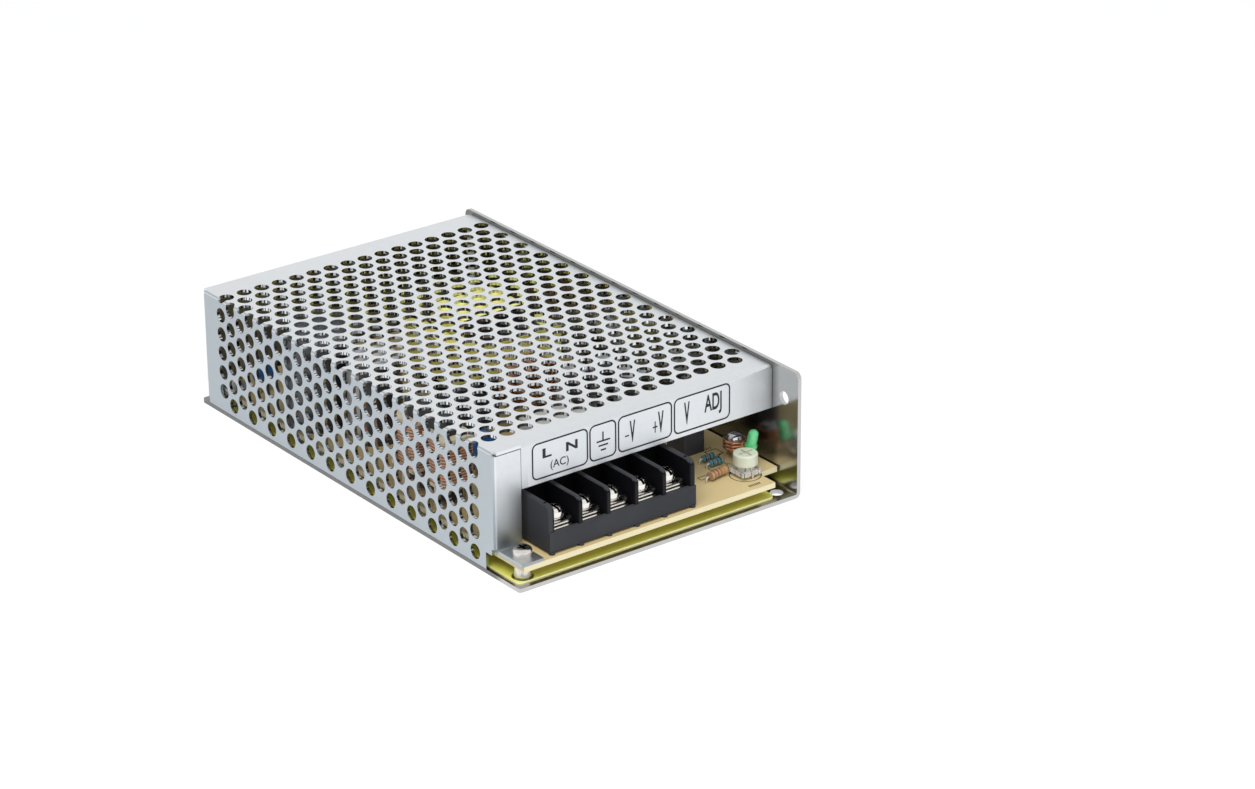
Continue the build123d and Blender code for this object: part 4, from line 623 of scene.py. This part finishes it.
def painted_resistor(name, node, along_rod, body_l, dark, pale, rings):
    """Finish for a rod with rings of paint. along_rod gives a finish's place along it from its middle."""
    finish = Finish(name, Coat_Roughness=0.1)
    run = along_rod(finish)
    lead = abs(run) > body_l / 2 + MASK_MARGIN
    color = finish.colors(finish.noise(0.5), dark, pale)
    for place, ring_color in rings:
        color = finish.colors(abs(run - place) < RING_HALF, color, ring_color)
    finish.set(
        Base_Color=finish.colors(lead, color, (0.80, 0.78, 0.75)),
        Metallic=lead,
        Coat_Weight=0.6 - 0.6 * lead,
        Roughness=0.24 + 0.1 * finish.noise(0.3),
    )
    finish.dress(node)


film_low, film_high = [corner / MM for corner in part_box("film_resistors")]
FILM_SPAN = 6.2


def along_film(finish):
    """Place along whichever of the two film resistors the point is on, from its middle."""
    first = film_high.x - FILM_SPAN / 2 - LEAD_R
    second = film_low.x + FILM_SPAN / 2 + LEAD_R
    behind = finish.along(1) > (film_low.y + film_high.y) / 2
    return finish.along(0) - (second + (first - second) * behind)


painted_resistor(
    "teal_resistor",
    "film_resistors",
    along_film,
    3.7,
    (0.05, 0.24, 0.30),
    (0.10, 0.34, 0.40),
    (
        (-1.35, (0.02, 0.02, 0.03)),
        (-0.55, (0.30, 0.06, 0.04)),
        (0.25, (0.02, 0.02, 0.03)),
        (1.3, (0.03, 0.03, 0.05)),
    ),
)
carbon_low, carbon_high = [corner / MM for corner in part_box("carbon_resistor")]
carbon_middle = (carbon_low + carbon_high) / 2
CARBON_TURN = math.radians(9.3)


def along_carbon(finish):
    """Place along the tan resistor, which stands a little askew."""
    across_x = finish.along(0) - carbon_middle.x
    across_y = finish.along(1) - carbon_middle.y
    return across_x * math.cos(CARBON_TURN) + across_y * math.sin(CARBON_TURN)


painted_resistor(
    "tan_resistor",
    "carbon_resistor",
    along_carbon,
    6.3,
    (0.31, 0.175, 0.085),
    (0.40, 0.25, 0.13),
    (
        (-2.1, (0.22, 0.03, 0.02)),
        (-0.7, (0.10, 0.03, 0.02)),
        (0.55, (0.24, 0.05, 0.02)),
        (2.2, (0.40, 0.24, 0.05)),
    ),
)

# Boxed capacitors: a dark one beside the outputs and a white one behind the mains terminals, both
# moulded boxes filled with resin.
for box_name, box_node, pale, dark in (
    ("dark_box", "film_capacitor", (0.050, 0.052, 0.066), (0.032, 0.034, 0.044)),
    ("white_box", "x_capacitor", (0.76, 0.76, 0.72), (0.66, 0.66, 0.62)),
):
    box = Finish(box_name, Specular_IOR_Level=0.4)
    pebble = box.noise(0.3)
    box.set(Base_Color=box.colors(box.noise(6.0), pale, dark), Roughness=0.42 + 0.15 * pebble)
    box.bump(pebble, 0.01)
    box.dress(box_node)

# Heat spreader: a sawn aluminium bar against the wall. Two flat power devices in black epoxy, with
# tinned tabs and legs, are bolted to it over grey silicone pads.
bar = Finish("sawn_bar", Metallic=1.0)
saw = bar.noise(0.5, stretch=(1.0, 0.05, 1.0))
bar.set(
    Base_Color=bar.colors(saw, (0.42, 0.43, 0.44), (0.56, 0.57, 0.58)),
    Roughness=0.30 + 0.15 * saw,
)
bar.dress("heat_spreader")
silicone = Finish("grey_silicone", Specular_IOR_Level=0.3)
silicone.set(
    Base_Color=silicone.colors(silicone.noise(1.0), (0.36, 0.37, 0.37), (0.46, 0.47, 0.46)),
    Roughness=0.7 + 0.1 * silicone.noise(0.4),
)
silicone.dress("insulating_pads")
DEVICE_BODY_H = 9.2
DEVICE_STAND = 3.9
device = Finish("device_epoxy", Specular_IOR_Level=0.4)
device_up = device.along(2) - (board_high.z + DEVICE_STAND)
tinned = (device_up < -MASK_MARGIN).larger(device_up > DEVICE_BODY_H + MASK_MARGIN)
epoxy = device.colors(device.noise(0.4), (0.018, 0.018, 0.020), (0.030, 0.030, 0.033))
device.set(
    Base_Color=device.colors(tinned, epoxy, (0.62, 0.62, 0.61)),
    Metallic=tinned,
    Roughness=0.42 + 0.15 * device.noise(0.3) - 0.15 * tinned,
)
device.dress("switching_transistor", "output_diode")

# Transformer: a ferrite core round a black bobbin, wound flat and wrapped in yellow polyester tape.
# Tape also runs round the core's outside and over its legs, and leaves part of the front yoke bare.
ferrite = Finish("sintered_ferrite", Specular_IOR_Level=0.4)
sinter = ferrite.noise(0.5, detail=4.0)
ferrite.set(
    Base_Color=ferrite.colors(sinter, (0.020, 0.020, 0.022), (0.042, 0.042, 0.045)),
    Roughness=0.40 + 0.2 * sinter,
)
ferrite.bump(sinter, 0.02)
ferrite.dress("transformer_core", "line_choke_core")
bobbin = Finish("black_bobbin", Specular_IOR_Level=0.4)
bobbin.set(
    Base_Color=bobbin.colors(bobbin.noise(2.0), (0.014, 0.014, 0.016), (0.028, 0.028, 0.030)),
    Roughness=0.40 + 0.15 * bobbin.noise(0.5),
)
bobbin.dress("transformer_bobbin")
tape = Finish("yellow_tape", Coat_Weight=0.5, Coat_Roughness=0.12)
crease = tape.noise(5.0, detail=2.0, stretch=(1.0, 1.0, 0.3))
lap = tape.bands(tape.along(1), (-2.0, 19.6, 29.4), 0.25)
tape_color = tape.colors(crease, (0.94, 0.89, 0.18), (0.98, 0.95, 0.30))
tape.set(
    Base_Color=tape.colors(lap * 0.5, tape_color, (0.50, 0.45, 0.06)),
    Roughness=0.28 + 0.12 * crease,
)
tape.bump(crease, 0.08)
tape.dress("transformer_winding", "transformer_tape")

TAPE_T = 0.06
LEG_W = 5.2
YOKE_TAPE_L = 8.6
core_low, core_high = [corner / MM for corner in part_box("transformer_core")]
over_core = bmesh.new()
strips = (
    (core_low.x, core_low.y, core_low.x + LEG_W, core_high.y),
    (core_low.x + LEG_W, core_low.y, core_low.x + YOKE_TAPE_L, core_low.y + LEG_W),
    (core_high.x - LEG_W, core_low.y, core_high.x, core_high.y),
)
for x0, y0, x1, y1 in strips:
    corners = ((x0, y0), (x1, y0), (x1, y1), (x0, y1))
    strip_face = over_core.faces.new([over_core.verts.new((x, y, core_high.z)) for x, y in corners])
    raised = bmesh.ops.extrude_face_region(over_core, geom=[strip_face])
    tops = [item for item in raised["geom"] if isinstance(item, bmesh.types.BMVert)]
    bmesh.ops.translate(over_core, verts=tops, vec=(0, 0, TAPE_T))
over_core.transform(Matrix.Scale(MM, 4))
over_core_mesh = bpy.data.meshes.new("core_top_tape")
bmesh.ops.recalc_face_normals(over_core, faces=over_core.faces)
over_core.to_mesh(over_core_mesh)
over_core.free()
over_core_mesh.materials.append(tape.material)
core_top_tape = bpy.data.objects.new("core_top_tape", over_core_mesh)
scene.collection.objects.link(core_top_tape)
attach(core_top_tape, "housing")

# Line choke: two windings of enamelled copper on cream bobbins, on a closed ferrite core. Each
# turn is painted pale along its crest, a painted highlight.
cream = Finish("cream_bobbin", Specular_IOR_Level=0.4)
cream.set(
    Base_Color=cream.colors(cream.noise(3.0), (0.72, 0.64, 0.46), (0.82, 0.75, 0.58)),
    Roughness=0.42 + 0.1 * cream.noise(0.5),
)
cream.dress("line_choke_bobbin")
LAYER_PITCH = 0.9
layers = Finish("layered_copper", Coat_Weight=0.4, Coat_Roughness=0.1, Metallic=0.6)
turns_up = (layers.along(2) * (2 * math.pi / LAYER_PITCH)).sine()
copper = layers.colors(layers.noise(1.5), (0.52, 0.17, 0.07), (0.74, 0.30, 0.14))
layers.set(
    # Painted highlight: the crest of each turn is painted pale.
    Base_Color=layers.colors(turns_up > 0.55, copper, (0.80, 0.66, 0.52)),
    Roughness=0.25 + 0.1 * layers.noise(0.5),
)
layers.bump(turns_up, 0.15)
layers.dress("line_choke_windings")

# Electrolytic capacitors: aluminium cans in black shrink sleeves with a pale stripe down one side.
# The sleeve is drawn in over the rim, and the bare can shows inside it. The input capacitor's sleeve
# is closed over its top.
sleeve = Finish("black_sleeve", Coat_Roughness=0.15)
bare_top = sleeve.facing(2) > 0.985
stripe = (sleeve.facing(0) < -0.86) * (abs(sleeve.facing(1)) < 0.4)
shrink = sleeve.noise(2.5, stretch=(1.0, 1.0, 0.4))
black = sleeve.colors(shrink, (0.016, 0.016, 0.019), (0.030, 0.030, 0.036))
marked = sleeve.colors(stripe * 0.85, black, (0.45, 0.46, 0.47))
sleeve.set(
    Base_Color=sleeve.colors(bare_top, marked, (0.62, 0.63, 0.64)),
    Metallic=bare_top,
    Coat_Weight=0.5 - 0.5 * bare_top,
    Roughness=0.28 + 0.12 * shrink,
)
sleeve.dress("reservoir_capacitor", "output_capacitors", "small_capacitors")
full_sleeve = Finish("closed_sleeve", Coat_Weight=0.5, Coat_Roughness=0.15)
full_sleeve.set(
    Base_Color=full_sleeve.colors(full_sleeve.noise(2.5), (0.014, 0.015, 0.018), (0.028, 0.029, 0.034)),
    Roughness=0.28 + 0.12 * full_sleeve.noise(0.8),
)
full_sleeve.dress("input_capacitor")

# Disc parts: ceramic discs dipped in epoxy, on two tinned legs. Interference capacitors and the
# varistor are blue, the thermistor dark green-black.
DISC_LEG_H = 1.9
for disc_name, disc_nodes, pale, dark in (
    ("blue_disc", ("y_capacitors", "varistor"), (0.02, 0.14, 0.42), (0.01, 0.09, 0.32)),
    ("dark_disc", ("thermistor",), (0.022, 0.026, 0.020), (0.012, 0.015, 0.012)),
):
    disc = Finish(disc_name, Coat_Roughness=0.12)
    disc_leg = disc.along(2) < board_high.z + DISC_LEG_H
    dip = disc.noise(1.2, detail=2.0)
    disc.set(
        Base_Color=disc.colors(disc_leg, disc.colors(dip, pale, dark), (0.72, 0.71, 0.69)),
        Metallic=disc_leg,
        Coat_Weight=0.6 - 0.6 * disc_leg,
        Roughness=0.28 + 0.1 * dip,
    )
    disc.bump(dip, 0.05)
    disc.dress(*disc_nodes)

# Bridge rectifier and chips: moulded black epoxy on tinned legs. The bridge's legs go straight down,
# and the two chips' legs come out at two sides before they bend down.
for chip_name, chip_node, stand, leg_reach in (
    ("bridge_epoxy", "bridge_rectifier", 3.2, 0.0),
    ("optocoupler_epoxy", "optocoupler", 0.5, 0.74),
    ("controller_epoxy", "controller_chip", 0.5, 0.74),
):
    chip = Finish(chip_name, Specular_IOR_Level=0.4)
    chip_low, chip_high = [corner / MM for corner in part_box(chip_node)]
    body_half = (chip_high.x - chip_low.x) / 2 - leg_reach
    outside = abs(chip.along(0) - (chip_low.x + chip_high.x) / 2) > body_half + 0.01
    leg = outside.larger(chip.along(2) < board_high.z + stand - MASK_MARGIN)
    moulded = chip.colors(chip.noise(0.5), (0.016, 0.016, 0.018), (0.028, 0.028, 0.031))
    chip.set(
        Base_Color=chip.colors(leg, moulded, (0.70, 0.69, 0.67)),
        Metallic=leg,
        Roughness=0.42 + 0.15 * chip.noise(0.3) - 0.18 * leg,
    )
    chip.dress(chip_node)

# Fuse: a glass tube with pressed nickel caps, snapped into two spring clips of plated brass that are
# soldered to the board. The glass is drawn as a pale, glossy solid.
fuse_low, fuse_high = [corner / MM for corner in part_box("fuse")]
FUSE_CAP_L = 5.2
tube = Finish("fuse_tube", IOR=1.5)
from_end = (fuse_high.x - fuse_low.x) / 2 - abs(tube.along(0) - (fuse_low.x + fuse_high.x) / 2)
cap = from_end < FUSE_CAP_L
glass = tube.colors(tube.noise(2.0), (0.50, 0.54, 0.52), (0.62, 0.66, 0.64))
tube.set(
    Base_Color=tube.colors(cap, glass, (0.76, 0.74, 0.70)),
    Metallic=cap,
    Roughness=0.06 + 0.1 * tube.noise(0.6),
)
tube.dress("fuse")
terminal_nickel.dress("fuse_clips")

# Output choke: a powdered-iron ring, painted yellow, wound with thick enamelled copper wire. It stands
# on edge on the board, and its winding is one solid whose turns are drawn round the ring.
ring_low, ring_high = [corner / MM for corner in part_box("output_choke_core")]
ring_middle = (ring_low + ring_high) / 2
painted_ring = Finish("painted_ring", Coat_Weight=0.2, Coat_Roughness=0.2)
painted_ring.set(
    Base_Color=painted_ring.colors(painted_ring.noise(2.0), (0.62, 0.52, 0.12), (0.74, 0.64, 0.20)),
    Roughness=0.45 + 0.15 * painted_ring.noise(0.6),
)
painted_ring.dress("output_choke_core")
RING_TURNS = 26
wound = Finish("wound_copper", Coat_Weight=0.6, Coat_Roughness=0.08, Metallic=0.9)
ring_up = wound.along(2) - ring_middle.z
ring_angle = ring_up.math("ARCTAN2", ring_up, wound.along(0) - ring_middle.x)
# Painted shade and highlight: each turn is painted dark in its grooves and light on its crest.
wire = (ring_angle * RING_TURNS).sine()
wound.set(
    Base_Color=wound.colors(wire * 0.5 + 0.5, (0.22, 0.07, 0.03), (0.72, 0.34, 0.16)),
    Roughness=0.20 + 0.1 * wound.noise(0.5),
)
wound.bump(wire, 0.4)
wound.dress("output_choke_winding")
